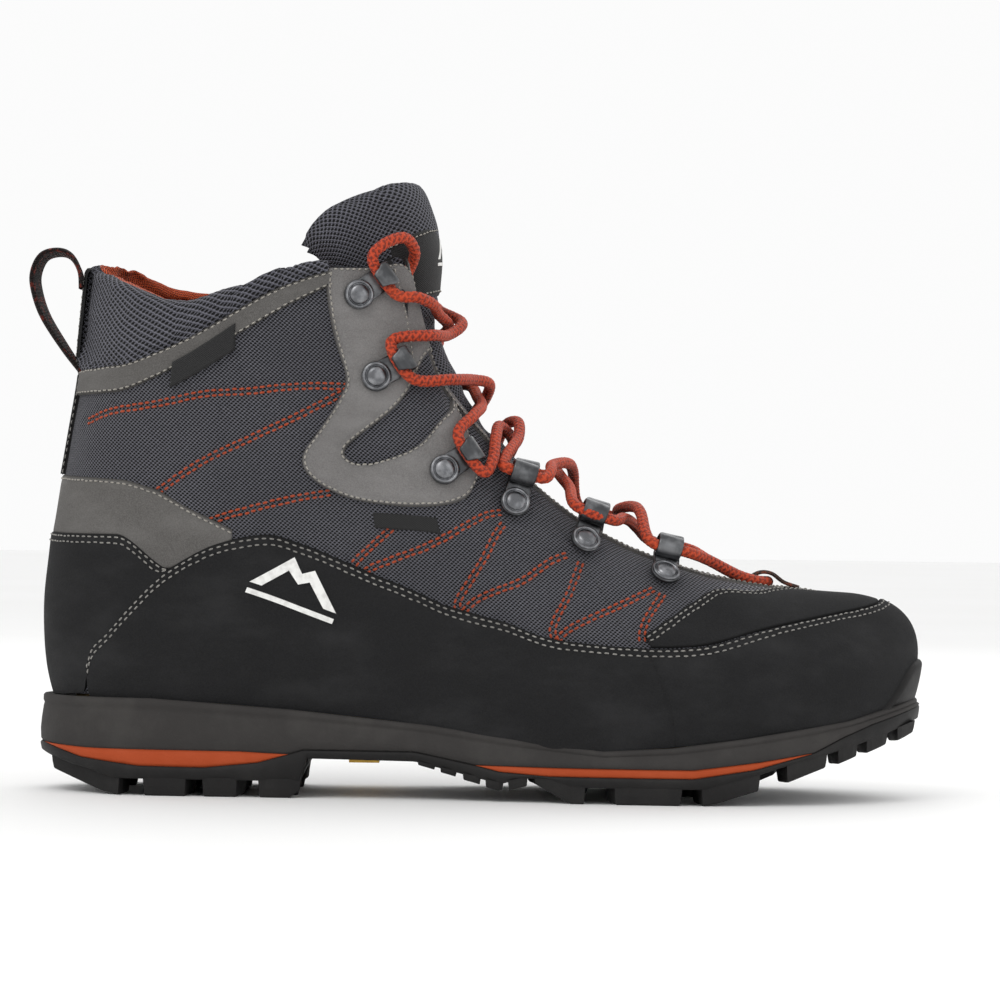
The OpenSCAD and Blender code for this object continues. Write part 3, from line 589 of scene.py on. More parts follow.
def spacer_mesh(name, pitch, yarn, light, dark, hole, slant=0.0, relief=0.5):
    """A knitted spacer fabric: staggered holes between yarns, with a fine rib along each yarn."""
    s = Nodes(name)
    u, v = s.split(s.uv())
    u = s.math("ADD", u, s.math("MULTIPLY", v, slant))
    wave = s.noise(45, 2)
    u = s.math("ADD", u, s.math("MULTIPLY", wave, pitch[0] * 0.45))
    cell = s.join(s.math("DIVIDE", u, pitch[0]), s.math("DIVIDE", v, pitch[1]))
    spots = []
    for shift in ((0.0, 0.0, 0.0), (0.5, 0.5, 0.0)):
        f = s.vec("FRACTION", s.vec("ADD", cell, (shift[0] + 400, shift[1] + 400, 0)))
        d = s.vec("MULTIPLY", s.vec("SUBTRACT", f, (0.5, 0.5, 0.5)), (1.0, 1.15, 0.0))
        spots.append(s.vec("LENGTH", d))
    near = s.math("MINIMUM", spots[0], spots[1])
    mask = s.between(near, hole, hole + 0.17)
    rib = s.math("SINE", s.math("MULTIPLY", s.math("ADD", s.math("DIVIDE", u, pitch[0]),
                                                   s.math("DIVIDE", v, pitch[1])), 12.566))
    fuzz = s.noise(2200, 4, 0.7)
    tone = s.mix(s.between(s.math("ADD", s.math("MULTIPLY", rib, 0.18), fuzz), 0.35, 0.72), yarn, light)
    tone = s.mix(s.between(s.noise(26, 3), 0.4, 0.75, 0.0, 0.35), tone, yarn)
    c = s.mix(mask, dark, tone)
    height = s.math("ADD", s.math("MULTIPLY", mask, 1.0), s.math("ADD", s.math("MULTIPLY", rib, 0.12),
                                                                  s.math("MULTIPLY", fuzz, 0.25)))
    return s.finish(c, s.between(mask, 0, 1, 1.0, 0.78), height, relief, Sheen_Weight=0.08, Sheen_Roughness=0.4,
                    Specular_IOR_Level=0.3)


UPPER_MESH = spacer_mesh("upper_mesh", (1.5, 1.25), srgb("48484f"), srgb("787880"), srgb("0c0c0e"), 0.2, 0.22)
COLLAR_MESH = spacer_mesh("collar_mesh", (2.5, 2.0), srgb("4c4c54"), srgb("6c6c75"), srgb("0c0c0e"), 0.17, 0.0, 0.8)

white_stitches, pale_stitches, orange_stitches = Thread(), Thread(), Thread()
WHITE_THREAD = thread_cloth("white_thread", srgb("b4b1ab"), srgb("5c5a56"))
PALE_THREAD = thread_cloth("pale_thread", srgb("c6c1b8"), srgb("6b675f"))
ORANGE_THREAD = thread_cloth("orange_thread", srgb("c24a1c"), srgb("84300f"))

# ---------------------------------------------------------------------------
# Quarters and vamp
# Spacer mesh in three cut pieces, joined under the suede. Double rows of orange thread quilt it,
# and draw it down to the lining along each row.
# ---------------------------------------------------------------------------
SHELL_TOP = [[0, 0.75], [1.2, 0.78], [2, 0.85], [2.7, 0.9], [3.4, 0.945], [3.45, 0.96], [8, 0.96], [9, 0.945]]
QUILT = [
    [[0.7, 0.68], [1.4, 0.72], [2.2, 0.75], [2.8, 0.73], [3.6, 0.735]],
    [[1.95, 0.53], [2.33, 0.59], [2.75, 0.63], [3.1, 0.665], [3.6, 0.73]],
    [[2.3, 0.42], [2.45, 0.45], [2.75, 0.47], [3.35, 0.505]],
    [[3.5, 0.3], [3.45, 0.34], [3.62, 0.395], [3.85, 0.45]],
    [[3.42, 0.3], [3.6, 0.345], [4.15, 0.41], [5.0, 0.49], [5.85, 0.6]],
    [[4.5, 0.26], [4.4, 0.295], [4.98, 0.405], [5.8, 0.57]],
    [[4.4, 0.26], [4.65, 0.305], [5.7, 0.43], [6.4, 0.58]],
    [[6.0, 0.29], [5.9, 0.33], [6.18, 0.44], [6.5, 0.58]],
    [[5.85, 0.29], [6.05, 0.345], [6.5, 0.445], [7.05, 0.59]],
    [[6.6, 0.36], [6.65, 0.4], [6.8, 0.47], [7.1, 0.58]],
]
quilt_lines = []
for line in QUILT:
    c = curve(line, 14)
    for c2 in (c, np.stack([TURN - c[:, 0], c[:, 1]], 1)):
        quilt_lines.append(np.hstack([skin(c2[:, 0], c2[:, 1]), out(c2[:, 0], c2[:, 1])]))


def quilted(q, t, p, near):
    h = np.zeros(p.shape[:2])
    for line in quilt_lines:
        lo, hi = line[:, :3].min(0) - 6, line[:, :3].max(0) + 6
        inside = ((p > lo) & (p < hi)).all(-1)
        if inside.any():
            d = np.linalg.norm(p[inside][:, None] - line[None, :, :3], axis=2).min(1)
            h[inside] = np.minimum(h[inside], -0.75 * np.exp(-(d / 2.6) ** 2))
    return h + 0.25


VAMP_SEAM = 6.515
for name, q0, q1 in (("quarter_lateral", 0.05, VAMP_SEAM), ("vamp", VAMP_SEAM, TURN - VAMP_SEAM),
                     ("quarter_medial", TURN - VAMP_SEAM, TURN - 0.05)):
    low, high = band(q0, q1, [[0, 0.012], [9, 0.012]], SHELL_TOP)
    patch = Patch(low, high, step=1.7, depth=MESH_IN, base=MESH_IN + 0.4, roll=0.5, ends=(False, False),
                  lumps=0.1, hollow=quilted, back=MESH - 0.4)
    ob = patch.make("shell_" + name, UPPER_MESH)
    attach(ob, "boot")
    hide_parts(name)

for line in quilt_lines:
    d = unit(np.gradient(line[:, :3], axis=0))
    side = np.cross(d, line[:, 3:])
    for k in (-0.9, 0.9):
        path = line.copy()
        path[:, :3] += side * k - line[:, 3:] * (MESH_IN + 0.45)
        orange_stitches.run(path, pitch=2.3, length=1.85, width=0.85, rise=0.34)

# ---------------------------------------------------------------------------
# Rand, heel piece and toe piece
# Black roughout suede cut in panels and sewn over the mesh above the sole, each top edge held by
# two rows of pale thread.
# ---------------------------------------------------------------------------
RAND_TOP = [[1.2, 0.03], [1.35, 0.14], [1.57, 0.19], [2.17, 0.35], [2.55, 0.4], [2.85, 0.41],
            [3.1, 0.39], [3.7, 0.32], [4.3, 0.28], [5.4, 0.3], [6.6, 0.34], [7, 0.37], [7.6, 0.45],
            [8.2, 0.52], [8.6, 0.57], [9, 0.65]]
FOOT_LINE = [[0, 0.008], [9, 0.008]]
rand_top = edge(RAND_TOP)


def raised(f, by):
    return lambda q: f(q) + by


def add_panel(name, node, low, high, **options):
    """A black suede panel of the upper. Its patch comes back, for the seams."""
    patch = Patch(low, high, rows_at=[], **options)
    ob = patch.make(name, BLACK_SUEDE)
    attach(ob, "boot")
    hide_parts(node)
    return patch


low, high = band(1.25, 6.6, FOOT_LINE, rand_top)
for mirrored, name in ((False, "rand_lateral"), (True, "rand_medial")):
    if mirrored:
        low, high = band(TURN - 6.6, TURN - 1.25, FOOT_LINE, rand_top)
    rand = add_panel("suede_" + name, name, low, high, ends=(not mirrored, mirrored), long_ends=(False, True),
                     lumps=0.16, seed=3, back=0.1)
    for r in (2.3, 4.3):
        white_stitches.run(rand.row(r, "high", ends=(2.0, 0.0) if not mirrored else (0.0, 2.0)))
low, high = band(6.6, TURN - 6.6, FOOT_LINE, rand_top)
rand = add_panel("suede_toe_rand", "toe_rand", low, high, ends=(False, False), long_ends=(False, True),
                 lumps=0.16, seed=3)
for r in (2.3, 4.3):
    white_stitches.run(rand.row(r, "high"))

TOE_TOP = [[6.6, 0.37], [6.8, 0.43], [7.35, 0.58], [7.7, 0.67], [8, 0.7], [8.5, 0.84], [9, 0.95]]
low, high = band(6.64, TURN - 6.64, raised(rand_top, 0.002), TOE_TOP)
toe = add_panel("suede_toe_overlay", "toe_overlay", low, high, ends=(False, False), depth=0.45, lumps=0.12,
                seed=5)
for r in (2.0, 3.8):
    white_stitches.run(toe.row(r, "high"), pitch=2.3, length=1.5)

HEEL_TOP = [[0, 0.43], [1.57, 0.43], [2.1, 0.345]]
HEEL_LOW = [[0, 0.008], [1.15, 0.02], [1.35, 0.12], [1.57, 0.17], [2.13, 0.33]]
PATCH_TOP = [[0, 0.56], [1.5, 0.56], [1.9, 0.54], [2.35, 0.47], [2.6, 0.425]]
PATCH_LOW = [[0, 0.425], [1.57, 0.425], [2.1, 0.34], [2.3, 0.355], [2.6, 0.4]]
for mirrored in (False, True):
    tag = "_medial" if mirrored else "_lateral"
    span = (lambda a, b: (TURN - b, TURN - a) if mirrored else (a, b))
    low, high = band(*span(0.0, 2.12), HEEL_LOW, HEEL_TOP)
    heel = Patch(low, high, ends=(False, False), long_ends=(False, True), depth=0.25, lumps=0.14, seed=4)
    heel_piece = heel.make("suede_heel_panel" + tag, BLACK_SUEDE)
    low, high = band(*span(0.0, 2.6), PATCH_LOW, PATCH_TOP)
    grey = Patch(low, high, ends=(False, False), depth=0.7, lumps=0.1, seed=6)
    grey_piece = grey.make("suede_heel_patch" + tag, DARK_GREY_SUEDE)
    for ob, node in ((heel_piece, "heel_panel"), (grey_piece, "heel_patch")):
        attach(ob, "boot")
        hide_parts(node)
    for r in (2.0, 3.9):
        white_stitches.run(heel.row(r, "high"), pitch=2.5)
    pale_stitches.run(grey.row(1.8, "high"), pitch=2.2, length=1.4, width=0.55)

# ---------------------------------------------------------------------------
# Facings
# Grey suede in one lobed piece on each side that carries the hooks, with a window of mesh left
# open under the lower hook. One row of pale thread runs round the whole edge.
# ---------------------------------------------------------------------------
FACING_OUT = [[3.5, 0.97], [3.45, 0.94], [3.5, 0.83], [3.6, 0.75], [3.5, 0.71], [3.3, 0.64],
              [3.1, 0.575], [3.23, 0.52], [3.6, 0.48], [4.5, 0.5], [5, 0.53], [5.4, 0.6], [5.8, 0.69]]
FACING_IN = [[5.4, 0.975], [5.8, 0.96], [6.05, 0.955], [4.6, 0.76], [4.05, 0.7], [3.6, 0.63],
             [3.45, 0.59], [3.6, 0.565], [3.97, 0.6], [4.65, 0.65], [5.2, 0.72], [5.6, 0.78], [6, 0.88]]


def rounded(points, times=3):
    """A line with each corner cut round."""
    p = np.asarray(points, float)
    for _ in range(times):
        a = p[:-1] * 0.75 + p[1:] * 0.25
        b = p[:-1] * 0.25 + p[1:] * 0.75
        p = np.vstack([p[:1], np.stack([a, b], 1).reshape(-1, p.shape[1])[1:-1], p[-1:]])
    return p


def along_table(table, mirrored):
    c = rounded(table)
    if mirrored:
        c = np.stack([TURN - c[:, 0], c[:, 1]], 1)
    s = np.linspace(0, 1, len(c))
    return lambda x: np.stack([np.interp(x, s, c[:, 0]), np.interp(x, s, c[:, 1])], -1)


facings = {}
for mirrored, name in ((False, "eyestay_lateral"), (True, "eyestay_medial")):
    facing = Patch(along_table(FACING_OUT, mirrored), along_table(FACING_IN, mirrored), step=1.5, lumps=0.1, seed=8,
                   rows_at=(2.1,), dent=0.22, depth=-0.05)
    ob = facing.make("suede_" + name, GREY_SUEDE)
    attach(ob, "boot")
    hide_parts(name)
    facings[name] = facing
    for side in ("low", "high"):
        pale_stitches.run(facing.row(2.1, side, ends=(2.1, 2.1)), pitch=2.0, length=1.4, width=0.6)
    for end in (0, 1):
        pale_stitches.run(facing.cross(2.1, end, inset=2.2), pitch=2.0, length=1.4, width=0.6)
    # a second seam runs down beside the hooks
    seam = rounded([[4.5, 0.965], [4.62, 0.9], [4.65, 0.83], [4.55, 0.765]])
    if mirrored:
        seam[:, 0] = TURN - seam[:, 0]
    n = out(seam[:, 0], seam[:, 1])
    pale_stitches.run(np.hstack([skin(seam[:, 0], seam[:, 1]) - n * 0.05, n]), pitch=2.0, length=1.4, width=0.55)

# ---------------------------------------------------------------------------
# Throat bindings
# Narrow grey suede folded over the cut edge of the mesh, from under the facings down to the toe
# piece, with one row of stitches.
# ---------------------------------------------------------------------------
THROAT = [[4.9, 0.86], [5.6, 0.875], [6.1, 0.875], [7, 0.86], [8, 0.865], [8.7, 0.9]]
for mirrored, name in ((False, "throat_binding_lateral"), (True, "throat_binding_medial")):
    q0, q1 = (TURN - 8.6, TURN - 5.0) if mirrored else (5.0, 8.6)
    low, high = band(q0, q1, THROAT, [[0, 1.0], [9, 1.0]])
    binding = Patch(low, high, step=1.3, ends=(False, False), depth=0.35, lumps=0.05, seed=9)
    ob = binding.make("suede_" + name, GREY_SUEDE)
    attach(ob, "boot")
    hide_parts(name)
    pale_stitches.run(binding.row(1.6, "low"), pitch=2.0, length=1.35, width=0.55)

# ---------------------------------------------------------------------------
# Cuff bands, back strip
# A grey suede band sews the padded collar to the quarters, with a row of thread along each edge.
# A black suede strip closes the back seam.
# ---------------------------------------------------------------------------
CUFF_LOW = [[0, 0.725], [1.2, 0.75], [2.1, 0.83], [2.7, 0.87], [3.5, 0.935]]
CUFF_TOP = [[0, 0.775], [1.2, 0.81], [2, 0.88], [2.7, 0.925], [3.5, 0.965]]
for mirrored, name in ((False, "cuff_band_lateral"), (True, "cuff_band_medial")):
    q0, q1 = (TURN - 3.55, TURN - 0.15) if mirrored else (0.15, 3.55)
    low, high = band(q0, q1, CUFF_LOW, CUFF_TOP)
    cuff = Patch(low, high, step=1.5, ends=(False, False), depth=0.15, lumps=0.05, seed=11)
    ob = cuff.make("suede_" + name, DARK_GREY_SUEDE)
    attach(ob, "boot")
    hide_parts(name)
    for side in ("low", "high"):
        pale_stitches.run(cuff.row(1.7, side), pitch=2.4, length=1.5, width=0.55)

strip = Patch(lambda s: np.stack([np.full_like(s, -0.24), 0.56 + 0.215 * s], -1),
              lambda s: np.stack([np.full_like(s, 0.24), 0.56 + 0.215 * s], -1), step=1.3, ends=(False, True),
              depth=-0.15, lumps=0.04)
ob = strip.make("suede_back_strip", BLACK_SUEDE)
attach(ob, "boot")
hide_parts("back_strip")
for side in ("low", "high"):
    white_stitches.run(strip.row(1.3, side), pitch=2.4, length=1.5, width=0.5)

# ---------------------------------------------------------------------------
# Collar
# Foam-padded spacer mesh rolled over the top line, one half each side of the heel seam, and sewn
# down along the cuff band. The lining inside is orange mesh that starts on the crest of the roll.
# ---------------------------------------------------------------------------
COLLAR = 7.0


def rolled_collar(q0, q1):
    """Rows round the top line; each climbs the outside and goes over the roll, or from its crest down the inside."""
    ends = np.linspace(0, 1, 110)
    q = q0 + (q1 - q0) * ends
    top = edge(CUFF_TOP)
    r = COLLAR / 2
    rows = []
    for k, qk in enumerate(q):
        t0 = top(qk) - 0.016
        ts = np.linspace(t0, 0.985, 60)
        g = skin(np.full(60, qk), ts)
        arc = np.r_[0, np.cumsum(np.linalg.norm(np.diff(g, axis=0), axis=1))]
        crest = max(arc[-1] - r, 0.3)
        x = np.linspace(0, crest, 16)
        tt = np.interp(x, arc, ts)
        n = out(np.full(16, qk), tt)
        p = skin(np.full(16, qk), tt)
        # a seam draws the padding in at the band, and it swells above it
        full = 1 - np.exp(-(np.maximum(x - 1.6, 0) / 2.2)) + 0.3 * np.sin(np.clip(x / max(crest, 1), 0, 1) * math.pi)
        sx = unit(p[:, :1] * 0 + skin(np.full(16, qk), np.minimum(tt + .01, 1.02)) - p)
        outside = p + n * (1.75 * full - 1.6)[:, None]
        centre = p[-1] - n[-1] * (r - 0.2)
        up = sx[-1]
        ang = np.linspace(0, math.pi, 15)
        base_r = np.linalg.norm(outside[-1] - centre)
        roll = centre + n[-1] * np.cos(ang)[:, None] * np.interp(ang, [0, math.pi], [base_r, r])[:, None] \
            + up * np.sin(ang)[:, None] * r
        inside = p[::-1] - n[::-1] * (COLLAR - 0.1 + 1.2 * np.clip(1 - x[::-1] / 5, 0, 1))[:, None]
        path = np.vstack([outside[:-1], roll, inside[1:]])
        rows.append(path)
    return q, np.array(rows)


def wrinkled(p, amount, seed):
    x, z = p[..., 0], p[..., 2]
    return amount * (np.sin(x * 0.23 + z * 0.31 + seed) + 0.6 * np.sin(x * 0.51 - z * 0.37 + 2 * seed))


def puffed(grid, free, pressure=4.0, most=2.2):
    """A cover blown out by a short cloth run. free is 1 where the cover may move and 0 where it is sewn down; no
    point moves further than most. The run is made at ten times full size, where the cloth solver is steady."""
    scale = 10.0
    ob = mesh_object("cover_in_progress", grid.reshape(-1, 3) * scale, grid_faces(*grid.shape[:2]))
    sewn = ob.vertex_groups.new(name="sewn")
    for i, f in enumerate(np.ravel(free)):
        sewn.add([i], float(1 - f), "REPLACE")
    cloth = ob.modifiers.new("cover", "CLOTH")
    st = cloth.settings
    st.quality = 4
    st.mass = 0.02
    st.tension_stiffness = st.compression_stiffness = 12
    st.shear_stiffness = 6
    st.bending_stiffness = 0.4
    st.shrink_min = -0.035
    st.vertex_group_mass = "sewn"
    st.use_pressure = True
    st.uniform_pressure_force = pressure
    st.effector_weights.gravity = 0
    cloth.point_cache.frame_start, cloth.point_cache.frame_end = 1, 20
    for frame in range(1, 21):
        scene.frame_set(frame)
    done = ob.evaluated_get(bpy.context.evaluated_depsgraph_get())
    moved = np.empty(len(ob.data.vertices) * 3)
    done.data.vertices.foreach_get("co", moved)
    scene.frame_set(1)
    me = ob.data
    bpy.data.objects.remove(ob)
    bpy.data.meshes.remove(me)
    move = moved.reshape(grid.shape) / (MM * scale) - grid
    far = np.linalg.norm(move, axis=-1, keepdims=True)
    return grid + move * np.minimum(1, most / np.maximum(far, 1e-6))


ORANGE_LINING = spacer_mesh("orange_lining", (1.3, 1.1), srgb("b8411c"), srgb("dd6a3a"), srgb("5d1c0c"),
                            0.16, 0.3, 0.35)
crest_at = 15 + 8
for mirrored, side in ((False, "lateral"), (True, "medial")):
    q0, q1 = (TURN - 3.5, TURN - 0.012) if mirrored else (0.012, 3.5)
    q, rows = rolled_collar(q0, q1)
    normal = unit(np.cross(np.gradient(rows, axis=0), np.gradient(rows, axis=1)))
    rows = rows + normal * wrinkled(rows, 0.22, 1.0 + mirrored)[..., None]
    free = np.ones(rows.shape[:2])
    free[:, :2] = free[:, -3:] = free[:2] = free[-2:] = 0
    rows = puffed(rows, free)
    arc = np.concatenate([np.zeros((len(rows), 1)),
                          np.cumsum(np.linalg.norm(np.diff(rows, axis=1), axis=2), 1)], 1)
    uv = np.stack([np.repeat(unrolled(q, np.full(len(q), 0.9))[:, :1], rows.shape[1], 1), arc], -1)
    for part, a, b, material, node in (("collar_", 0, crest_at + 1, COLLAR_MESH, "collar_" + side),
                                       ("collar_lining_", crest_at, rows.shape[1], ORANGE_LINING, "collar_lining")):
        g = rows[:, a:b]
        faces = grid_faces(g.shape[0], g.shape[1])
        ob = mesh_object(part + "pad_" + side, g.reshape(-1, 3), faces, material, uv=uv[:, a:b].reshape(-1, 2))
        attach(ob, "boot")
        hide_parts(node)

# the back strip carries on up the collar to its crest, and the pull loop's ends are sewn into it
q, rows = rolled_collar(-0.2, 0.2)
g = rows[::5, :crest_at - 3]
normal = unit(np.cross(np.gradient(g, axis=0), np.gradient(g, axis=1)))
if normal[g.shape[0] // 2, 4, 0] > 0:
    normal = -normal
across = np.abs(np.linspace(-1, 1, g.shape[0]))[:, None]
upwards = np.arange(g.shape[1])[None, :]
lift = 1.0 * np.sqrt(np.clip(1 - np.maximum(across, 1 - (g.shape[1] - 1 - upwards) / 4.0) ** 6, 0, 1))
face, under = g + normal * lift[..., None], g - normal * 0.4
n = g.shape[0] * g.shape[1]
faces = grid_faces(*g.shape[:2])
# the face is given a rim far from any edge, so the suede's painted seam shade falls only on the underside
ob = mesh_object("suede_collar_strip", np.vstack([face.reshape(-1, 3), under.reshape(-1, 3)]),
                 np.vstack([faces, (faces + n)[:, ::-1]]), BLACK_SUEDE,
                 uv=np.vstack([np.stack([g[..., 1], g[..., 2]], -1).reshape(-1, 2)] * 2),
                 values={"rim": np.r_[np.full(n, 3.0), np.zeros(n)]})
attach(ob, "boot")
for k in (2, g.shape[0] - 3):
    white_stitches.run(np.hstack([face[k], normal[k]]), pitch=2.4, length=1.5, width=0.5, holes=0)

# ---------------------------------------------------------------------------
# Lining, footbed and inner board
# A dark knitted bootie lines the inside; the footbed lies loose on it and lifts out.
# ---------------------------------------------------------------------------
BOOTIE = spacer_mesh("bootie_knit", (1.1, 0.9), srgb("2b2b2f"), srgb("44444a"), srgb("0e0e10"), 0.14, 0.0, 0.3)
LINING_TOP = [[0, 0.79], [1.2, 0.82], [2, 0.88], [3.4, 0.955], [3.6, 0.975], [8, 0.975], [9, 0.96]]
low, high = band(0.02, TURN - 0.02, [[0, 0.03], [9, 0.03]], LINING_TOP)
bootie = Patch(low, high, step=3.4, depth=4.4, base=4.8, roll=0.5, ends=(False, False), lumps=0.25, seed=2, back=0.6)
ob = bootie.make("knit_lining", BOOTIE)
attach(ob, "boot")
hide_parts("lining")

# The sole's plan, from the heel round the outer side and the toe
SOLE = [
    [-148, 0], [-139.5, -21], [-118, -34.5], [-80, -38], [-38, -40], [0, -44], [38, -51], [75, -52.8],
    [108, -46.5], [134, -29], [151, 3], [140.5, 32], [116, 46.5], [84, 52.95], [52, 50], [16, 41.5],
    [-20, 36], [-60, 34], [-100, 35.5], [-122, 32], [-141, 19],
]
FEATHER = [[-156, 31], [-108, 31], [-62, 28], [-15, 23.5], [15, 19.2], [42, 16.2], [65, 17.6],
           [90, 21], [125, 26.6], [147, 32], [156, 34]]
RUBBER_TOP = [[-156, 16.6], [-146, 16.1], [-132, 12.2], [-112, 9.9], [-90, 9.7], [-72, 11.6], [-62, 14.5], [-57, 16],
              [-20, 16], [0, 12], [8, 10], [24, 8.9], [72, 8.9], [92, 12], [112, 17.5], [122, 22.5],
              [132, 26.5], [156, 33.2]]
RUBBER_LOW = [[-156, 12], [-147, 9], [-135, 4.5], [-120, 0], [-58, 0], [-56, 13.2], [-20, 12.8],
              [8, 6], [20, 6], [32, 0], [76, 0], [94, 5], [109, 10], [130, 17], [156, 25]]
FOAM_LOW = [[-156, 16.6], [-146, 16.1], [-130, 15.4], [-78, 15.2], [-62, 14.5], [-57, 16], [-20, 16], [0, 12],
            [24, 11.8], [72, 11.8], [94, 14.6], [112, 17.5], [122, 22.5], [132, 26.5], [156, 33.2]]


def level(table):
    x, z = np.array(table, float).T
    return lambda at: np.interp(at, x, z)


closed = np.array(SOLE, float)
plan = []
for i in range(len(closed)):
    u = np.linspace(0, 1, 24, endpoint=False)[:, None]
    plan.append(through(closed[i - 1], closed[i], closed[(i + 1) % len(closed)], closed[(i + 2) % len(closed)], u))
plan = np.vstack(plan)
plan, plan_arc = even(np.vstack([plan, plan[:1]]), 1.25)
plan, plan_arc = plan[:-1], plan_arc[:-1]
plan_out = unit(np.roll(plan, -1, 0) - np.roll(plan, 1, 0))
plan_out = np.stack([plan_out[:, 1] * -1, plan_out[:, 0]], 1) * -1


def outline(inset):
    return plan - plan_out * np.asarray(inset, float).reshape(-1, 1)


def wall(name, levels, material, caps=(True, True), body="boot"):
    """A ring of sole side wall. Each level is a height along the boot and how far it is drawn in."""
    rings = []
    for height, inset in levels:
        inset = inset(plan[:, 0]) if callable(inset) else np.full(len(plan), float(inset))
        xy = outline(inset)
        rings.append(np.c_[xy, height(plan[:, 0])])
    n = len(plan)
    verts = np.vstack(rings)
    faces = [tuple(f) for f in grid_faces(len(rings), n, wrap=True)]
    uv = np.vstack([np.c_[plan_arc, r[:, 2]] for r in rings])
    # caps are rows across the sole between its two sides
    for cap, row in zip(caps, (0, len(rings) - 1)):
        if cap:
            order = list(range(row * n, row * n + n))
            left, right = 0, n - 1
            while left + 1 < right:
                quad = (order[left], order[left + 1], order[right - 1], order[right]) if left + 1 != right - 1 else \
                    (order[left], order[left + 1], order[right])
                faces.append(quad if row == 0 else quad[::-1])
                left, right = left + 1, right - 1
    ob = mesh_object(name, verts, faces, material, uv=uv)
    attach(ob, body)
    return ob


m = Nodes("felt_footbed")
weave = m.math("MULTIPLY", m.math("SINE", m.math("MULTIPLY", m.split(m.vec("SCALE", m.place(), 1000.0))[0], 5.0)),
               m.math("SINE", m.math("MULTIPLY", m.split(m.vec("SCALE", m.place(), 1000.0))[1], 5.0)))
m.finish(m.mix(m.between(m.noise(900, 4), 0.35, 0.7), srgb("3a3a3e"), srgb("5c5c62")), 0.95,
         m.math("ADD", weave, m.noise(1500, 3)), 0.25, Sheen_Weight=0.3)
feather = level(FEATHER)
base = 2.6
footbed_levels = [(lambda x: feather(x) + base, 15.5), (lambda x: feather(x) + base + 1.2, 14.6),
                  (lambda x: feather(x) + base + 4.2, 14.4), (lambda x: feather(x) + base + 4.9, 15.2),
                  (lambda x: feather(x) + base + 4.6, 17.5)]
ob = wall("felt_footbed", footbed_levels, m.material, body="insole")
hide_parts("footbed")

m = Nodes("fibre_board")
m.finish(m.mix(m.noise(300, 5), srgb("8f7650"), srgb("b89c70")), 0.9, m.noise(1200, 4), 0.1)
nodes = frame["nodes"]


def finish_cad(name, material):
    nodes[name].data.materials.clear()
    nodes[name].data.materials.append(material)


finish_cad("lasting_board", m.material)
m = Nodes("stiffener_felt")
m.finish(m.mix(m.noise(700, 4), srgb("bdb6a6"), srgb("ddd7c9")), 0.95, m.noise(1500, 4), 0.1)
finish_cad("heel_counter", m.material)
finish_cad("toe_puff", m.material)
m = Nodes("shank_steel")
m.finish(m.mix(m.noise(200, 3), srgb("8a8c8f"), srgb("b5b7ba")), 0.35, m.noise(400, 3), 0.03, Metallic=1.0)
finish_cad("shank", m.material)

# ---------------------------------------------------------------------------
# Sole unit
# A dark foam midsole, orange bands let in at heel and forefoot, and one black rubber outsole with a
# small toe cap. The parts are cemented together and to the upper.
# ---------------------------------------------------------------------------
def rubber(name, colour, light, rough, speckle=0.12):
    r = Nodes(name)
    fine = r.noise(1500, 3, 0.6)
    wear = r.noise(55, 5, 0.6)
    c = r.mix(r.between(wear, 0.45, 0.75, 0.0, 0.7), colour, light)
    c = r.mix(r.between(fine, 0.55, 0.75, 0.0, speckle * 3), c, light)
    return r.finish(c, r.between(wear, 0.3, 0.7, rough, rough - 0.14),
                    r.math("ADD", fine, r.math("MULTIPLY", wear, 1.5)), 0.09, Specular_IOR_Level=0.25)


FOAM = rubber("midsole_foam", srgb("343231"), srgb("3e3c3a"), 0.88)
RUBBER = rubber("black_rubber", srgb("1b1a1a"), srgb("272625"), 0.72)
BAND = rubber("orange_band", srgb("a3421c"), srgb("ad4b25"), 0.75)
foam_low, rubber_top, rubber_low = level(FOAM_LOW), level(RUBBER_TOP), level(RUBBER_LOW)


def part(low, high, f):
    return lambda x: low(x) + (high(x) - low(x)) * f


levels = ([(foam_low, 8.0), (foam_low, 0.9)]
          + [(part(foam_low, feather, f), inset) for f, inset in
             ((0.06, 0.25), (0.3, 0.1), (0.55, 0.45), (0.8, 1.0), (0.88, 1.3), (0.93, 0.9))]
          + [(raised(feather, up), inset) for up, inset in ((0.7, 0.95), (1.25, 1.5), (1.3, 2.6), (0.2, 6.0))])
ob = wall("foam_midsole", levels, FOAM)
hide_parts("midsole")

levels = [(rubber_top, 6.0), (rubber_top, 0.9), (part(rubber_top, foam_low, 0.2), 0.55),
          (part(rubber_top, foam_low, 0.8), 0.55), (foam_low, 0.9), (foam_low, 6.0)]
for name, x0, x1 in (("heel_insert", -146, -62), ("forefoot_insert", 0, 112)):
    keep = (plan[:, 0] >= x0) & (plan[:, 0] <= x1)
    rings = []
    for height, inset in levels:
        xy = outline(inset)
        rings.append(np.c_[xy, height(plan[:, 0])])
    n = len(plan)
    faces = [f for f in grid_faces(len(rings), n, wrap=True) if keep[f[0] % n] and keep[f[1] % n]]
    verts = np.vstack(rings)
    used = sorted(set(int(i) for f in faces for i in f))
    index = {v: k for k, v in enumerate(used)}
    ob = mesh_object("band_" + name, verts[used], [[index[int(i)] for i in f] for f in faces], BAND,
                     uv=np.vstack([np.c_[plan_arc, r[:, 2]] for r in rings])[used])
    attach(ob, "boot")
    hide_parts(name)


# The outsole: a slab that follows the arch, a rim of side wall, and the lugs under it
LUG_DEPTH = [[-150, 3.4], [-130, 5.6], [-58, 5.6], [-56, 0], [8, 0], [32, 5.4], [100, 5.4], [130, 3.6]]


def slab_low(x):
    return np.minimum(rubber_low(x) + np.interp(x, *zip(*LUG_DEPTH)), rubber_top(x) - 1.2)


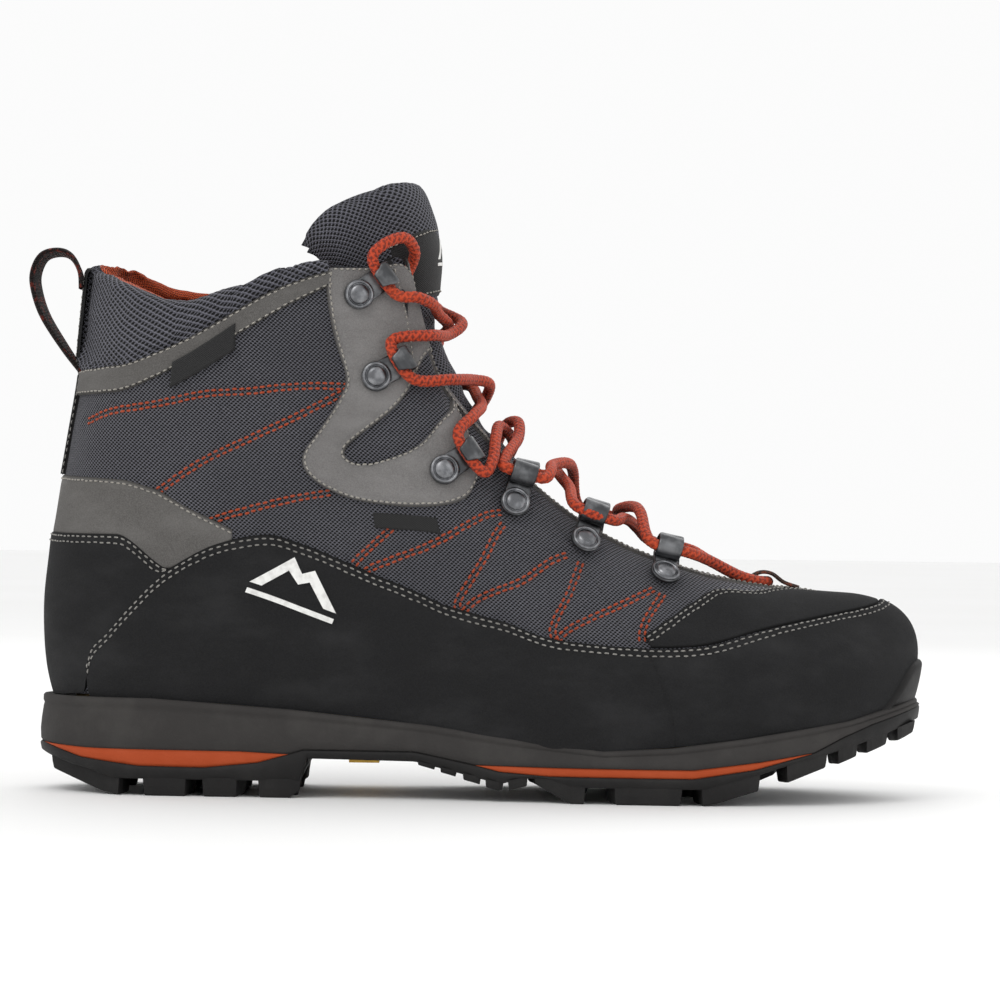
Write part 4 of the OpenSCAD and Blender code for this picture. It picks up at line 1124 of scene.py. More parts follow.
levels = [(slab_low, 9.0), (slab_low, 1.2), (raised(slab_low, 0.5), 0.5), (part(slab_low, rubber_top, 0.6), 0.15),
          (raised(rubber_top, -0.5), 0.1), (rubber_top, 0.7), (rubber_top, 8.0)]
slab = wall("rubber_outsole", levels, RUBBER)
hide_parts("outsole")


def side_at(x, sign):
    """The plan's half width at x, on the outer (-1) or inner (1) side."""
    half = plan[plan[:, 1] * sign > 0] if sign > 0 else plan[plan[:, 1] <= 0]
    half = half[np.argsort(half[:, 0])]
    return np.interp(x, half[:, 0], half[:, 1])


def lug(corners, z_low, z_top, lean=0.8):
    """A tread block: a plan outline, drawn in towards its foot, with a bevelled ground edge."""
    c = np.asarray(corners, float)
    mid = c.mean(0)
    c = np.vstack([np.linspace(c[i], c[(i + 1) % len(c)], 5)[:-1] for i in range(len(c))])
    c = c + 0.08 * (np.roll(c, 1, 0) + np.roll(c, -1, 0) - 2 * c)
    d = unit(c - mid)
    zt, zl = z_top(c[:, 0]), z_low(c[:, 0])
    rings = [np.c_[c, zt], np.c_[c - d * lean * 0.4, zt + (zl - zt) * 0.5], np.c_[c - d * lean, zl + 0.5],
             np.c_[c - d * (lean + 0.5), zl + 0.05], np.c_[c - d * (lean + 1.4), zl]]
    v = np.vstack(rings)
    n = len(c)
    f = [tuple(x) for x in grid_faces(len(rings), n, wrap=True)]
    f.append(tuple(range((len(rings) - 1) * n, len(rings) * n)))
    return v, f


lugs_v, lugs_f = [], []


def add_lug(corners, **more):
    v, f = lug(corners, lambda x: np.maximum(rubber_low(x), 0), lambda x: slab_low(x) + 0.8, **more)
    k = sum(len(x) for x in lugs_v)
    lugs_v.append(v)
    lugs_f.extend([tuple(int(i) + k for i in face) for face in f])


HEEL_LUGS = [(-143, -117.7), (-110.5, -95.6), (-90.6, -78.7), (-72.1, -57.4)]
FORE_LUGS = [(19.4, 36.8), (45.6, 68.6), (74.2, 94.2), (102.4, 116.6), (120, 127), (130, 138), (141.5, 148.5)]
for x0, x1 in HEEL_LUGS + FORE_LUGS:
    for sign in (-1, 1):
        depth = 17 if x1 < 0 else 19
        xs = np.array([x0, x1])
        ys = np.array([side_at(x, sign) for x in xs]) - sign * 0.4
        if abs(ys).min() < 14:
            ys = sign * np.maximum(abs(ys), 9)
        inner = ys - sign * depth
        inner = sign * np.maximum(sign * inner, 3.2)
        skew = 2.5 * (1 if x1 < 0 else -1)
        add_lug([(x0, ys[0]), (x1, ys[1]), (x1 + skew, inner[1]), ((x0 + x1) / 2 + skew, inner.mean() - sign * 1.8),
                 (x0 + skew, inner[0])])
for x in (30, 52, 74, 95):
    add_lug([(x - 7, -7), (x, -9.5), (x + 7, -7), (x + 9, 0), (x + 7, 7), (x, 9.5), (x - 7, 7), (x - 5, 0)], lean=1.2)
for x in (-104, -84):
    add_lug([(x - 5, -6), (x + 4, -6), (x + 8, 0), (x + 4, 6), (x - 5, 6), (x - 2, 0)], lean=1.0)
ob = mesh_object("rubber_lugs", np.vstack(lugs_v), lugs_f, RUBBER, smooth=False)
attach(ob, "boot")

# small treads step down the edge between the arch and the first forefoot lug
steps_v, steps_f = [], []
for k, (x0, x1) in enumerate([(-19, -13), (-11.5, -6), (-4, 2), (3.5, 9.5), (11, 17.5)]):
    for sign in (-1, 1):
        y = side_at((x0 + x1) / 2, sign) - sign * 0.3
        corners = np.array([(x0, y), (x1, y), (x1, y - sign * 22), (x0, y - sign * 20)])
        z1 = lambda x: slab_low(x) + 0.6
        z0 = lambda x, k=k: slab_low(x) - 0.9 - 0.45 * k
        v, f = lug(corners, z0, z1, lean=0.4)
        n0 = sum(len(x) for x in steps_v)
        steps_v.append(v)
        steps_f.extend([tuple(int(i) + n0 for i in face) for face in f])
ob = mesh_object("rubber_steps", np.vstack(steps_v), steps_f, RUBBER, smooth=False)
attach(ob, "boot")
m = Nodes("yellow_inlay")
m.finish(m.mix(m.noise(300, 4), srgb("c99a2e"), srgb("e2b64a")), 0.5, m.noise(900, 3), 0.05)
finish_cad("waist_inlay", m.material)

# toe cap: a moulded lip with grooves, bonded over the front of the rand
cap = Patch(*band(8.33, TURN - 8.33, [[8, -0.005], [9, -0.005]],
                  [[8, 0.02], [8.33, 0.03], [8.5, 0.085], [8.65, 0.15], [8.8, 0.185], [9, 0.195]]), step=1.2,
            depth=-1.7, base=0.4, roll=2.0, lumps=0.02,
            hollow=lambda q, t, p, near: -0.9 * np.exp(-((p[..., 2] - 32.5) / 0.8) ** 2) * (near > 1.5))
ob = cap.make("rubber_toe_bumper", RUBBER)
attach(ob, "boot")
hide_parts("toe_bumper")

# ---------------------------------------------------------------------------
# Tongue
# Padded spacer mesh in one piece from the toe to above the collar. Its top stands clear of the lace
# and bends on the highest crossing. A black woven label is sewn on its front.
# ---------------------------------------------------------------------------
TONGUE = np.array([
    [93, 63, 82, 9, 1.5, 2, 3], [76, 66.5, 72, 11, 2.5, 4, 6], [58, 73, 60, 13, 4, 5, 7],
    [40, 85, 54, 14, 8, 6, 7], [22, 99, 50, 15, 12, 8, 7], [10, 115, 44, 15.5, 14, 10, 6],
    [-1, 129, 38, 16, 15, 12, 5], [-8, 142, 28, 17.5, 15, 13, 4], [-13, 152, 20, 18, 15, 14, 4],
    [-15.3, 159, 18, 18, 15, 14, 4], [-15, 170, 18, 18, 14, 17, 4], [-14.5, 182, 20, 18.5, 13, 21, 4],
    [-17, 194, 27, 20, 12, 24.5, 4], [-21, 203, 32, 21, 12, 27, 4], [-25.4, 207.2, 36, 21, 12, 28, 3],
], float)


def tongue_point(s, u, inset):
    full = math.radians(80)
    bend = np.minimum(np.abs(u) / 0.6, 1) * full
    wing = np.maximum(np.abs(u) - 0.6, 0) / 0.4
    back = s[..., 4] * (1 - np.cos(bend)) / (1 - math.cos(full)) + s[..., 5] * wing + inset
    across = np.sign(u) * ((s[..., 3] - inset) * np.sin(bend) / math.sin(full) + s[..., 6] * wing)
    lean = np.radians(s[..., 2])
    return np.stack([s[..., 0] - back * np.cos(lean), across, s[..., 1] - back * np.sin(lean)], -1)


TONGUE_MESH = spacer_mesh("tongue_mesh", (1.9, 1.5), srgb("4a4a52"), srgb("6c6c75"), srgb("0c0c0e"), 0.17, 0.1, 0.7)
ribs = curve(TONGUE, 9)
us = np.linspace(-1, 1, 61)
S, U = np.broadcast_arrays(ribs[:, None, :], us[None, :, None])
U = U[..., 0]
thick = np.where(S[..., 4] < 3, 3.5, 7.0) * 0.5
front = tongue_point(S, U, thick)
# the top edge arches up between the shin and its two wings
back = np.abs(front[..., 0] - front[:, 30:31, 0])
back = back / back.max(1, keepdims=True)
front[..., 2] += np.clip((S[..., 1] - 182) / 25, 0, 1) ** 1.5 * (8.5 * np.sin(math.pi / 2 * np.minimum(back / 0.8, 1))
                                                              - 6 * np.clip((back - 0.7) / 0.3, 0, 1) ** 2)
normal = unit(np.cross(np.gradient(front, axis=1), np.gradient(front, axis=0)))
if normal[len(ribs) // 2, 30, 0] < 0:
    normal = -normal
arc = np.r_[0, np.cumsum(np.linalg.norm(np.diff(front[:, 30], axis=0), axis=1))]
side_arc = np.concatenate([np.zeros((len(ribs), 1)), np.cumsum(np.linalg.norm(np.diff(front, axis=1), axis=2), 1)], 1)
rim = np.minimum(np.minimum(side_arc, side_arc[:, -1:] - side_arc), np.minimum(arc[-1] - arc, 99)[:, None])
dome = np.sqrt(np.clip(1 - (1 - np.clip(rim / 4.2, 0, 1)) ** 2, 0.0, 1))
# Soft ridges cross the lower front, and the padding is thinner near the top
pads = 0.25 * np.sin(front[..., 2] * 0.55 + 0.8 * np.sin(front[..., 1] * 0.2)) * (front[..., 2] < 160)
swell = np.where(front[..., 2] > 168, 0.45, 0.9)
outer = front + normal * (thick * dome + (pads + swell + wrinkled(front, 0.18, 3.0)) * dome - 0.2)[..., None]
inner = front - normal * (thick * dome)[..., None]
free = dome * (dome > 0.6)
free[S[..., 1] < 110] = 0
outer = puffed(outer, free, most=1.4)
n = outer.shape[0] * outer.shape[1]
fo = grid_faces(*outer.shape[:2])
rows, cols = outer.shape[:2]
rimv = np.r_[np.arange(cols), np.arange(1, rows) * cols + cols - 1, (rows - 1) * cols + np.arange(cols - 2, -1, -1),
             np.arange(rows - 2, 0, -1) * cols]
nx = np.roll(rimv, -1)
uv = np.stack([side_arc - side_arc[:, -1:] / 2, np.repeat(arc[:, None], cols, 1)], -1).reshape(-1, 2)
tongue = mesh_object("padded_tongue", np.vstack([outer.reshape(-1, 3), inner.reshape(-1, 3)]),
                     np.vstack([fo, fo[:, ::-1] + n, np.stack([nx, rimv, rimv + n, nx + n], 1)]),
                     TONGUE_MESH, uv=np.vstack([uv, uv]))
bm = bmesh.new()
bm.from_mesh(tongue.data)
bmesh.ops.remove_doubles(bm, verts=bm.verts, dist=0.00005)
bmesh.ops.recalc_face_normals(bm, faces=bm.faces)
bm.to_mesh(tongue.data)
bm.free()
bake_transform(tongue)
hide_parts("tongue_lower", "tongue_upper")

label_rows = curve(TONGUE[9:13], 10)[9:29]
ul = np.linspace(-0.76, 0.76, 49)
S, U = np.broadcast_arrays(label_rows[:, None, :], ul[None, :, None])
U = U[..., 0]
lab_out = tongue_point(S, U, -1.0)
lab_in = tongue_point(S, U, -0.55)
steps_across = np.linalg.norm(np.diff(lab_out, axis=1), axis=2)
side = np.concatenate([np.zeros((len(label_rows), 1)), np.cumsum(steps_across, 1)], 1)
la = np.r_[0, np.cumsum(np.linalg.norm(np.diff(lab_out[:, 24], axis=0), axis=1))]
rim = np.minimum(np.minimum(side, side[:, -1:] - side), np.minimum(la, la[-1] - la)[:, None])
k = np.clip(rim / 0.7, 0, 1)[..., None]
lab = lab_in * (1 - k) + lab_out * k
m = Nodes("woven_label")
x, y = m.split(m.uv())
weft = m.math("SINE", m.math("MULTIPLY", y, 9.0))
warp = m.math("SINE", m.math("MULTIPLY", x, 7.0))
body = m.math("MULTIPLY", weft, warp)
m.finish(m.mix(m.between(m.math("ADD", body, m.noise(900, 3)), 0.2, 1.0), srgb("0d0d0d"), srgb("212122")), 0.8,
         m.math("ADD", body, m.noise(1800, 2)), 0.12, Sheen_Weight=0.05)
LABEL = m.material
rows, cols = lab.shape[:2]
n = rows * cols
fo = grid_faces(rows, cols)
label_uv = np.stack([side, np.repeat(la[:, None], cols, 1)], -1).reshape(-1, 2)
ob = mesh_object("woven_tongue_label", np.vstack([lab.reshape(-1, 3), lab_in.reshape(-1, 3)]),
                 np.vstack([fo[:, ::-1], fo + n]), LABEL, uv=np.vstack([label_uv] * 2))
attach(ob, "tongue_top")
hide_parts("tongue_label")
label_stitches = Thread()
lab_n = unit(lab_out - lab_in)
for r in (1, -2):
    row, row_n = lab[r, 1:-1], lab_n[r, 1:-1]
    label_stitches.run(np.hstack([row + row_n * 0.05, row_n]), pitch=2.0, length=1.35, width=0.5)
label_stitches.make("label_stitches", PALE_THREAD, "tongue_top")


# A small plain mountain outline is woven into the label
def mark(name, shapes, at, material, body, low=0.02, high=0.16, fine=1.0):
    bm = bmesh.new()
    for shape in shapes:
        pts = []
        for i in range(len(shape)):
            a, b = np.array(shape[i], float), np.array(shape[(i + 1) % len(shape)], float)
            k = max(int(np.linalg.norm(b - a) / fine), 1)
            pts += [tuple(a + (b - a) * j / k) for j in range(k)]
        flat = [bm.verts.new((p[0], p[1], 0)) for p in pts]
        face = bm.faces.new(flat)
        bmesh.ops.triangulate(bm, faces=[face])
    bmesh.ops.subdivide_edges(bm, edges=[e for e in bm.edges if e.calc_length() > fine * 1.3], cuts=2)
    bmesh.ops.triangulate(bm, faces=bm.faces)
    extruded = bmesh.ops.extrude_face_region(bm, geom=bm.faces[:])
    tops = {v for v in extruded["geom"] if isinstance(v, bmesh.types.BMVert)}
    for v in bm.verts:
        p = at(v.co.x, v.co.y)
        co = p[:3] + p[3:] * (high if v in tops else low)
        v.co = Vector(co * MM)
    bmesh.ops.recalc_face_normals(bm, faces=bm.faces)
    me = bpy.data.meshes.new(name)
    bm.to_mesh(me)
    bm.free()
    me.materials.append(material)
    ob = bpy.data.objects.new(name, me)
    scene.collection.objects.link(ob)
    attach(ob, body)
    return ob


def ridge(w, h):
    """Two plain peaks over a line."""
    return [[(-w / 2, 0), (-w * 0.12, h), (w * 0.02, h * 0.66), (w * 0.14, h * 0.86), (w / 2, 0), (w * 0.36, 0),
             (w * 0.13, h * 0.52), (w * 0.02, h * 0.36), (-w * 0.13, h * 0.62), (-w * 0.36, 0)],
            [(-w / 2, -h * 0.3), (w / 2, -h * 0.3), (w / 2, -h * 0.16), (-w / 2, -h * 0.16)]]


m = Nodes("white_print")
m.finish(m.mix(m.between(m.noise(420, 4), 0.3, 0.62), srgb("d2d1ce"), srgb("e8e8e5")), 0.6, m.noise(1500, 3), 0.06)
PRINT = m.material


def on_label(x, y):
    # x runs across the label, y up it
    r = np.interp(y, la - la[len(la) // 2], np.arange(len(la)))
    j = np.interp(x, side[len(la) // 2] - side[len(la) // 2, 24], np.arange(cols))
    r0, j0 = int(np.clip(math.floor(r), 0, rows - 2)), int(np.clip(math.floor(j), 0, cols - 2))
    a, b = r - r0, j - j0
    pick = lambda g: (g[r0, j0] * (1 - a) * (1 - b) + g[r0 + 1, j0] * a * (1 - b)
                      + g[r0, j0 + 1] * (1 - a) * b + g[r0 + 1, j0 + 1] * a * b)
    return np.r_[pick(lab), pick(lab_n)]


mark("label_mark", ridge(17, 7.5), on_label, PRINT, "tongue_top")

# ---------------------------------------------------------------------------
# Hooks, loops and rivets
# Gunmetal steel: two open hooks and a lock hook on each facing, then three closed loops down the
# throat, each pressed from sheet, bent round the lace and held by a domed rivet.
# ---------------------------------------------------------------------------
m = Nodes("gunmetal")
scratch = m.noise(240, 5, 0.65, m.vec("MULTIPLY", m.place(), (1.0, 5.0, 1.0)))
tarnish = m.noise(120, 4, 0.6)
m.finish(m.mix(m.between(tarnish, 0.4, 0.7), srgb("4a4b4d"), srgb("77787a")), m.between(scratch, 0.3, 0.7, 0.3, 0.5),
         m.math("ADD", scratch, m.math("MULTIPLY", m.noise(900, 2), 0.4)), 0.03, Metallic=1.0)
GUNMETAL = m.material
m = Nodes("rivet_steel")
m.finish(m.mix(m.between(m.noise(300, 4), 0.4, 0.7), srgb("66676a"), srgb("8f9093")),
         m.between(m.noise(500, 3), 0.3, 0.7, 0.24, 0.42), m.noise(700, 3), 0.02, Metallic=1.0)
RIVET_STEEL = m.material
EYE_REACH, EYE_R, LIFT, PLATE, PLATE_W = 9.5, 2.6, 0.45, 1.2, 8.5


def strip_mesh(line, width, thick):
    """A bent metal strip: line is its middle in the x, z plane; width at each point; rounded edges."""
    line = np.asarray(line, float)
    d = unit(np.gradient(line, axis=0))
    nrm = np.stack([-d[:, 1], d[:, 0]], 1)
    prof = []
    r = thick / 2
    for a in np.linspace(-90, 90, 5):
        prof.append((1, r * math.cos(math.radians(a)) - r, r * math.sin(math.radians(a))))
    for a in np.linspace(90, 270, 5):
        prof.append((-1, r * math.cos(math.radians(a)) + r, r * math.sin(math.radians(a))))
    rings = []
    for p, nn, w in zip(line, nrm, width):
        rings.append([(p[0] + nn[0] * z, side * w / 2 + dy, p[1] + nn[1] * z) for side, dy, z in prof])
    rings = np.array(rings)
    k = len(prof)
    v = rings.reshape(-1, 3)
    f = [tuple(x) for x in grid_faces(len(rings), k, wrap=True)]
    f += [tuple(range(k))[::-1], tuple(range(len(v) - k, len(v)))]
    return v, f


def plate_mesh():
    """The plate under the rivet: a rounded tab with a softened top edge."""
    a = np.radians(np.linspace(58, 302, 25))
    r = 5.0
    tab = [(EYE_REACH, -PLATE_W / 2), (EYE_REACH, PLATE_W / 2)]
    ring = [(r * math.cos(t), r * math.sin(t)) for t in a]
    ring = np.array(tab + ring)
    mid = np.array([2.5, 0])
    d = unit(ring - mid)
    n = len(ring)
    levels = [(0.0, LIFT), (0.0, LIFT + PLATE - 0.35), (0.12, LIFT + PLATE - 0.1), (0.4, LIFT + PLATE)]
    v = np.vstack([np.c_[ring - d * i, np.full(n, z)] for i, z in levels])
    f = [tuple(x) for x in grid_faces(len(levels), n, wrap=True)]
    f += [tuple(range(n))[::-1], tuple(range(3 * n, 4 * n))]
    return v, f


def eye_parts(open_hook):
    z = LIFT + PLATE + EYE_R
    r = EYE_R + PLATE / 2
    start = [(3.0, LIFT + PLATE / 2 + 0.02), (6.5, LIFT + PLATE / 2 + 0.02)]
    if open_hook:
        ang = np.radians(np.linspace(-90, 92, 19))
        arcp = [(EYE_REACH + r * math.cos(t), z + r * math.sin(t)) for t in ang]
        tail = [(EYE_REACH - 1.6, z + r + 0.05), (EYE_REACH - 2.9, z + r + 0.5)]
        line = start + arcp + tail
        width = [PLATE_W] * (len(line) - 5) + [PLATE_W - less for less in (0.2, 0.8, 1.6, 2.4, 3.6)]
    else:
        ang = np.radians(np.linspace(-90, 262, 33))
        line = start + [(EYE_REACH + r * math.cos(t), z + r * math.sin(t)) for t in ang]
        width = [PLATE_W] * len(line)
    return [strip_mesh(line, width, PLATE), plate_mesh()]


def rivet_mesh():
    top = LIFT + PLATE
    prof = [(4.5, top - 0.3), (4.75, top + 0.15), (4.72, top + 0.5), (4.5, top + 0.72), (4.15, top + 0.78),
            (3.85, top + 0.66), (3.7, top + 0.35), (3.6, top + 0.22), (3.45, top + 0.26), (3.3, top + 0.55),
            (3.0, top + 0.95), (2.5, top + 1.22), (1.7, top + 1.38), (0.8, top + 1.42)]
    k = 40
    turns = [2 * math.pi * i / k for i in range(k)]
    rings = [[(r * math.cos(a), r * math.sin(a), z) for a in turns] for r, z in prof]
    v = np.array(rings).reshape(-1, 3)
    f = [tuple(x) for x in grid_faces(len(prof), k, wrap=True)]
    f.append(tuple(range((len(prof) - 1) * k, len(prof) * k)))
    return v, f


def frame_at(q, t, turn):
    p, w = skin(np.array(q), np.array(t)), out(np.array(q), np.array(t))
    v = unit(skin(np.array(q), np.array(t + 0.01)) - skin(np.array(q), np.array(t - 0.01)))
    u = np.cross(v, w)
    a = math.radians(turn)
    x, y = u * math.cos(a) + v * math.sin(a), -u * math.sin(a) + v * math.cos(a)
    return p, x, y, w


def placed(parts, places, name, material, nodes_named):
    vs, fs, count = [], [], 0
    for q, t, turn in places:
        for qq, tn in ((q, turn), (TURN - q, 180 - turn)):
            p, x, y, w = frame_at(qq, t, tn)
            for v, f in parts:
                vs.append(p + v[:, :1] * x + v[:, 1:2] * y + v[:, 2:] * w)
                fs += [tuple(int(i) + count for i in face) for face in f]
                count += len(v)
    ob = mesh_object(name, np.vstack(vs), fs, material)
    bm = bmesh.new()
    bm.from_mesh(ob.data)
    bmesh.ops.recalc_face_normals(bm, faces=bm.faces)
    bm.to_mesh(ob.data)
    bm.free()
    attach(ob, "boot")
    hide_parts(*nodes_named)
    return ob


TOP_HOOKS = [[3.82, 0.92, 30], [3.9, 0.76, 20]]
LOCK_HOOKS = [[4.73, 0.58, 20]]
LACE_LOOPS = [[6.08, 0.65, 50], [6.68, 0.67, 40], [7.28, 0.67, 38]]
placed(eye_parts(True), TOP_HOOKS, "steel_top_hooks", GUNMETAL, ["top_hooks"])
placed(eye_parts(True), LOCK_HOOKS, "steel_lock_hooks", GUNMETAL, ["lock_hooks"])
placed(eye_parts(False), LACE_LOOPS, "steel_lace_loops", GUNMETAL, ["lace_loops"])
placed([rivet_mesh()], TOP_HOOKS, "steel_top_hook_rivets", RIVET_STEEL, ["top_hook_rivets"])
placed([rivet_mesh()], LOCK_HOOKS, "steel_lock_hook_rivets", RIVET_STEEL, ["lock_hook_rivets"])
placed([rivet_mesh()], LACE_LOOPS, "steel_lace_loop_rivets", RIVET_STEEL, ["lace_loop_rivets"])

# ---------------------------------------------------------------------------
# Lace
# One round braided lace, orange with darker flecks. It starts behind the outer facing, rounds the
# top hook, crosses down to the webbing loop at the toe and comes back up to the inner side.
# ---------------------------------------------------------------------------
LACE = [
    [-31.5, -25, 159], [-29, -24, 167], [-24, -20.5, 177], [-22.5, -24, 182.5], [-26, -30, 186.5],
    [-33, -35.5, 183.5], [-36, -37, 178], [-28.5, -36, 167.5], [-21, -34, 166.5], [-16, -26, 164.5], [-14.5, -14, 162],
    [-11, 0, 158.3], [-15, 15, 154.5], [-16, 32.5, 153.5],
    [-29.5, 38, 151.5], [-22, 38, 139.5], [-9.5, 30.5, 139.5], [-3.5, 12, 138.5], [-1, 0, 134.5], [0.5, -13, 131],
    [-2, -29.5, 127.6], [-7, -40, 120.5], [1, -42, 109], [4.5, -37.5, 112.5], [5.5, -26, 120.5], [6.5, -12, 124.5],
    [10, 0, 122], [11.5, 12, 119], [10.5, 26, 116], [8.5, 32.5, 113], [9.5, 35, 111.5], [22, 33.5, 108.5],
    [25.5, 27, 110], [25.5, 14, 111], [28, 0, 107.5], [30.5, -14, 104], [32.5, -33, 98], [44.5, -31.5, 93.5],
    [48.5, -14, 94], [51.5, 0, 93], [54.5, 14, 90.5], [60, 29.5, 86], [72.5, 27, 83.5], [79, 20, 80],
    [88, 10, 75.2], [95, 5.5, 73.2], [98.5, 0, 73], [95, -5.5, 73.2], [88, -10, 75.2], [77, -20, 80.5],
    [70, -28, 83], [57.5, -29.5, 86.5], [54.5, -14, 96], [52, 0, 98], [48, 14, 97],
    [46.5, 30.5, 94.5], [34.5, 32.5, 98], [32, 14, 110], [29.5, 0, 112.5], [24.5, -14, 111.5], [24, -27, 109.5],
    [21, -34, 107], [9, -35.5, 110.5], [8.5, -31.5, 113], [10, -25, 116], [13, -12, 120.5], [13, 0, 126],
    [9, 12, 125.5], [6, 27, 119.5], [4.2, 34, 116], [2.5, 40.5, 108.5], [-6.5, 38.5, 121], [-3, 29, 128.5],
    [1.5, 12, 134], [3, 0, 139], [-2.5, -12, 140], [-9.5, -30.5, 139.5], [-22.5, -39, 139.5],
    [-29.5, -38.5, 151.5], [-16.5, -33, 154], [-11.3, -14, 154.8], [-6.5, 0, 159.5], [-14, 14, 164], [-16, 26, 166],
    [-20.5, 34, 167.5], [-28.5, 36, 167.5], [-36, 37, 178], [-33, 35.5, 183.5], [-26, 30, 186.5], [-22.5, 24, 182.5],
    [-24, 20.5, 177], [-29, 24, 167], [-31.5, 25, 159],
]
LACE_R = 2.1


def tube(path, radius, k, braid=0.0):
    """A round tube along a path with frames that don't twist, and a braided surface."""
    line, s = even(path, 0.62)
    d = unit(np.gradient(line, axis=0))
    n = np.zeros_like(line)
    start = np.cross(d[0], [0.3, 0.2, 1.0])
    n[0] = unit(start)
    for i in range(1, len(line)):
        v = n[i - 1] - d[i] * np.dot(n[i - 1], d[i])
        n[i] = v / np.linalg.norm(v)
    b = np.cross(d, n)
    a = np.linspace(0, 2 * math.pi, k, endpoint=False)
    A, Z = np.meshgrid(a, s)
    bump = np.maximum(np.sin(A * 4 + Z * 2.9), np.sin(A * 4 - Z * 2.9))
    r = radius - braid + braid * bump
    v = line[:, None] + r[..., None] * (n[:, None] * np.cos(A)[..., None] + b[:, None] * np.sin(A)[..., None])
    uv = np.stack([np.broadcast_to(A * radius, r.shape), Z], -1)
    return v, uv, line


path = curve(LACE, 8)
v, uv, lace_line = tube(path, LACE_R * 0.93, 20, 0.16)
m = Nodes("braided_lace")
x, y = m.split(m.uv())
turn = m.math("MULTIPLY", x, 4 / LACE_R)
one = m.math("SINE", m.math("ADD", turn, m.math("MULTIPLY", y, 2.9)))
two = m.math("SINE", m.math("SUBTRACT", turn, m.math("MULTIPLY", y, 2.9)))
top = m.math("MAXIMUM", one, two)
fleck = m.math("MULTIPLY", m.between(m.math("SINE", m.math("ADD", turn, m.math("MULTIPLY", y, 1.45))), 0.72, 0.95),
               m.between(two, -0.2, 0.5))
fibre = m.noise(2400, 3)
tone = m.mix(m.between(m.math("ADD", m.math("MULTIPLY", top, 0.35), fibre), 0.2, 0.85),
             srgb("6a1804"), srgb("b83a10"))
tone = m.mix(m.between(m.noise(60, 2), 0.4, 0.7, 0.0, 0.4), tone, srgb("c2461a"))
tone = m.mix(m.math("MULTIPLY", fleck, 0.75), tone, srgb("53180c"))
m.finish(tone, 0.72, m.math("ADD", top, m.math("MULTIPLY", fibre, 0.6)), 0.22, Sheen_Weight=0.04, Sheen_Roughness=0.5)
k = v.shape[1]
ob = mesh_object("braided_lace", v.reshape(-1, 3), grid_faces(len(v), k, wrap=True)[:, ::-1], m.material,
                 uv=uv.reshape(-1, 2))
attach(ob, "boot")
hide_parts("lace")

m = Nodes("lace_tip_film")
m.finish(m.mix(m.noise(200, 3), srgb("161616"), srgb("2c2c2c")), 0.3, m.noise(500, 3), 0.05, Coat_Weight=0.5)
tips = []
for a, b in ((lace_line[0], lace_line[6]), (lace_line[-1], lace_line[-7])):
    d = unit(a - b)
    prof = [(0.0, 2.15), (0.3, 2.2), (1.0, 2.0), (8.0, 1.85), (16.5, 1.8), (17.4, 1.6), (17.9, 1.0)]
    x = unit(np.cross(d, [0.2, 0.4, 1]))
    y = np.cross(d, x)
    ring = np.radians(np.arange(0, 360, 22.5))
    tips.append(np.array([[a + d * z + r * (x * math.cos(t) + y * math.sin(t)) for t in ring] for z, r in prof]))
faces, verts = [], []
for i, g in enumerate(tips):
    faces += [tuple(f + i * g.shape[0] * 16) for f in grid_faces(len(g), 16, wrap=True)]
    faces.append(tuple(range((len(g) - 1) * 16 + i * g.shape[0] * 16, len(g) * 16 + i * g.shape[0] * 16)))
    verts.append(g.reshape(-1, 3))
ob = mesh_object("lace_tip_sleeves", np.vstack(verts), faces, m.material)
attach(ob, "boot")
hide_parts("lace_tips")

# ---------------------------------------------------------------------------
# Pull loop and toe loop
# Black webbing flecked with dark red, folded and sewn into the back seam; a short brown webbing
# loop at the throat's front end holds the lace.
# ---------------------------------------------------------------------------
def webbing_cloth(name, base_c, fleck_c, light_c):
    w = Nodes(name)
    x, y = w.split(w.uv())
    rib = w.math("SINE", w.math("MULTIPLY", y, 5.2))
    cross = w.math("SINE", w.math("ADD", w.math("MULTIPLY", x, 5.6), w.math("MULTIPLY", y, 2.6)))
    flecks = w.between(w.noise(420, 2, 0.5), 0.52, 0.66)
    c = w.mix(w.between(w.math("MULTIPLY", rib, cross), -0.6, 0.8), base_c, light_c)
    c = w.mix(w.math("MULTIPLY", flecks, 0.7), c, fleck_c)
    return w.finish(c, 0.85, w.math("ADD", w.math("MULTIPLY", rib, 0.6), w.math("MULTIPLY", cross, 0.5)), 0.22,
                    Sheen_Weight=0.03, Specular_IOR_Level=0.2)


def webbing(name, line2d, half_w, thick, material, lean=0.0, crown=0.35):
    line, s = even(curve(line2d, 12), 0.8)
    d = unit(np.gradient(line, axis=0))
    nrm = np.stack([-d[:, 1], d[:, 0]], 1)
    ys = np.linspace(-1, 1, 19)
    edge_r = np.sqrt(np.clip(1 - np.abs(ys) ** 10, 0, 1))
    rings, uvs = [], []
    for p, nn, sk in zip(line, nrm, s):
        tilt = lean * math.sin(math.pi * min(sk / s[-1], 1.0)) ** 0.6
        across = [(y, thick / 2 * e + crown * y * y + tilt * y) for y, e in zip(ys, edge_r)] \
            + [(y, -thick / 2 * e + crown * y * y + tilt * y) for y, e in zip(ys[::-1], edge_r[::-1])]
        rings.append([(p[0] + nn[0] * h, y * half_w, p[1] + nn[1] * h) for y, h in across])
        uvs.append([(y * half_w, sk) for y in ys] + [(y * half_w, sk) for y in ys[::-1]])
    g = np.array(rings)
    f = [tuple(x) for x in grid_faces(len(g), g.shape[1], wrap=True)]
    ob = mesh_object(name, g.reshape(-1, 3), f, material, uv=np.array(uvs).reshape(-1, 2))
    bm = bmesh.new()
    bm.from_mesh(ob.data)
    bmesh.ops.recalc_face_normals(bm, faces=bm.faces)
    bm.to_mesh(ob.data)
    bm.free()
    return ob


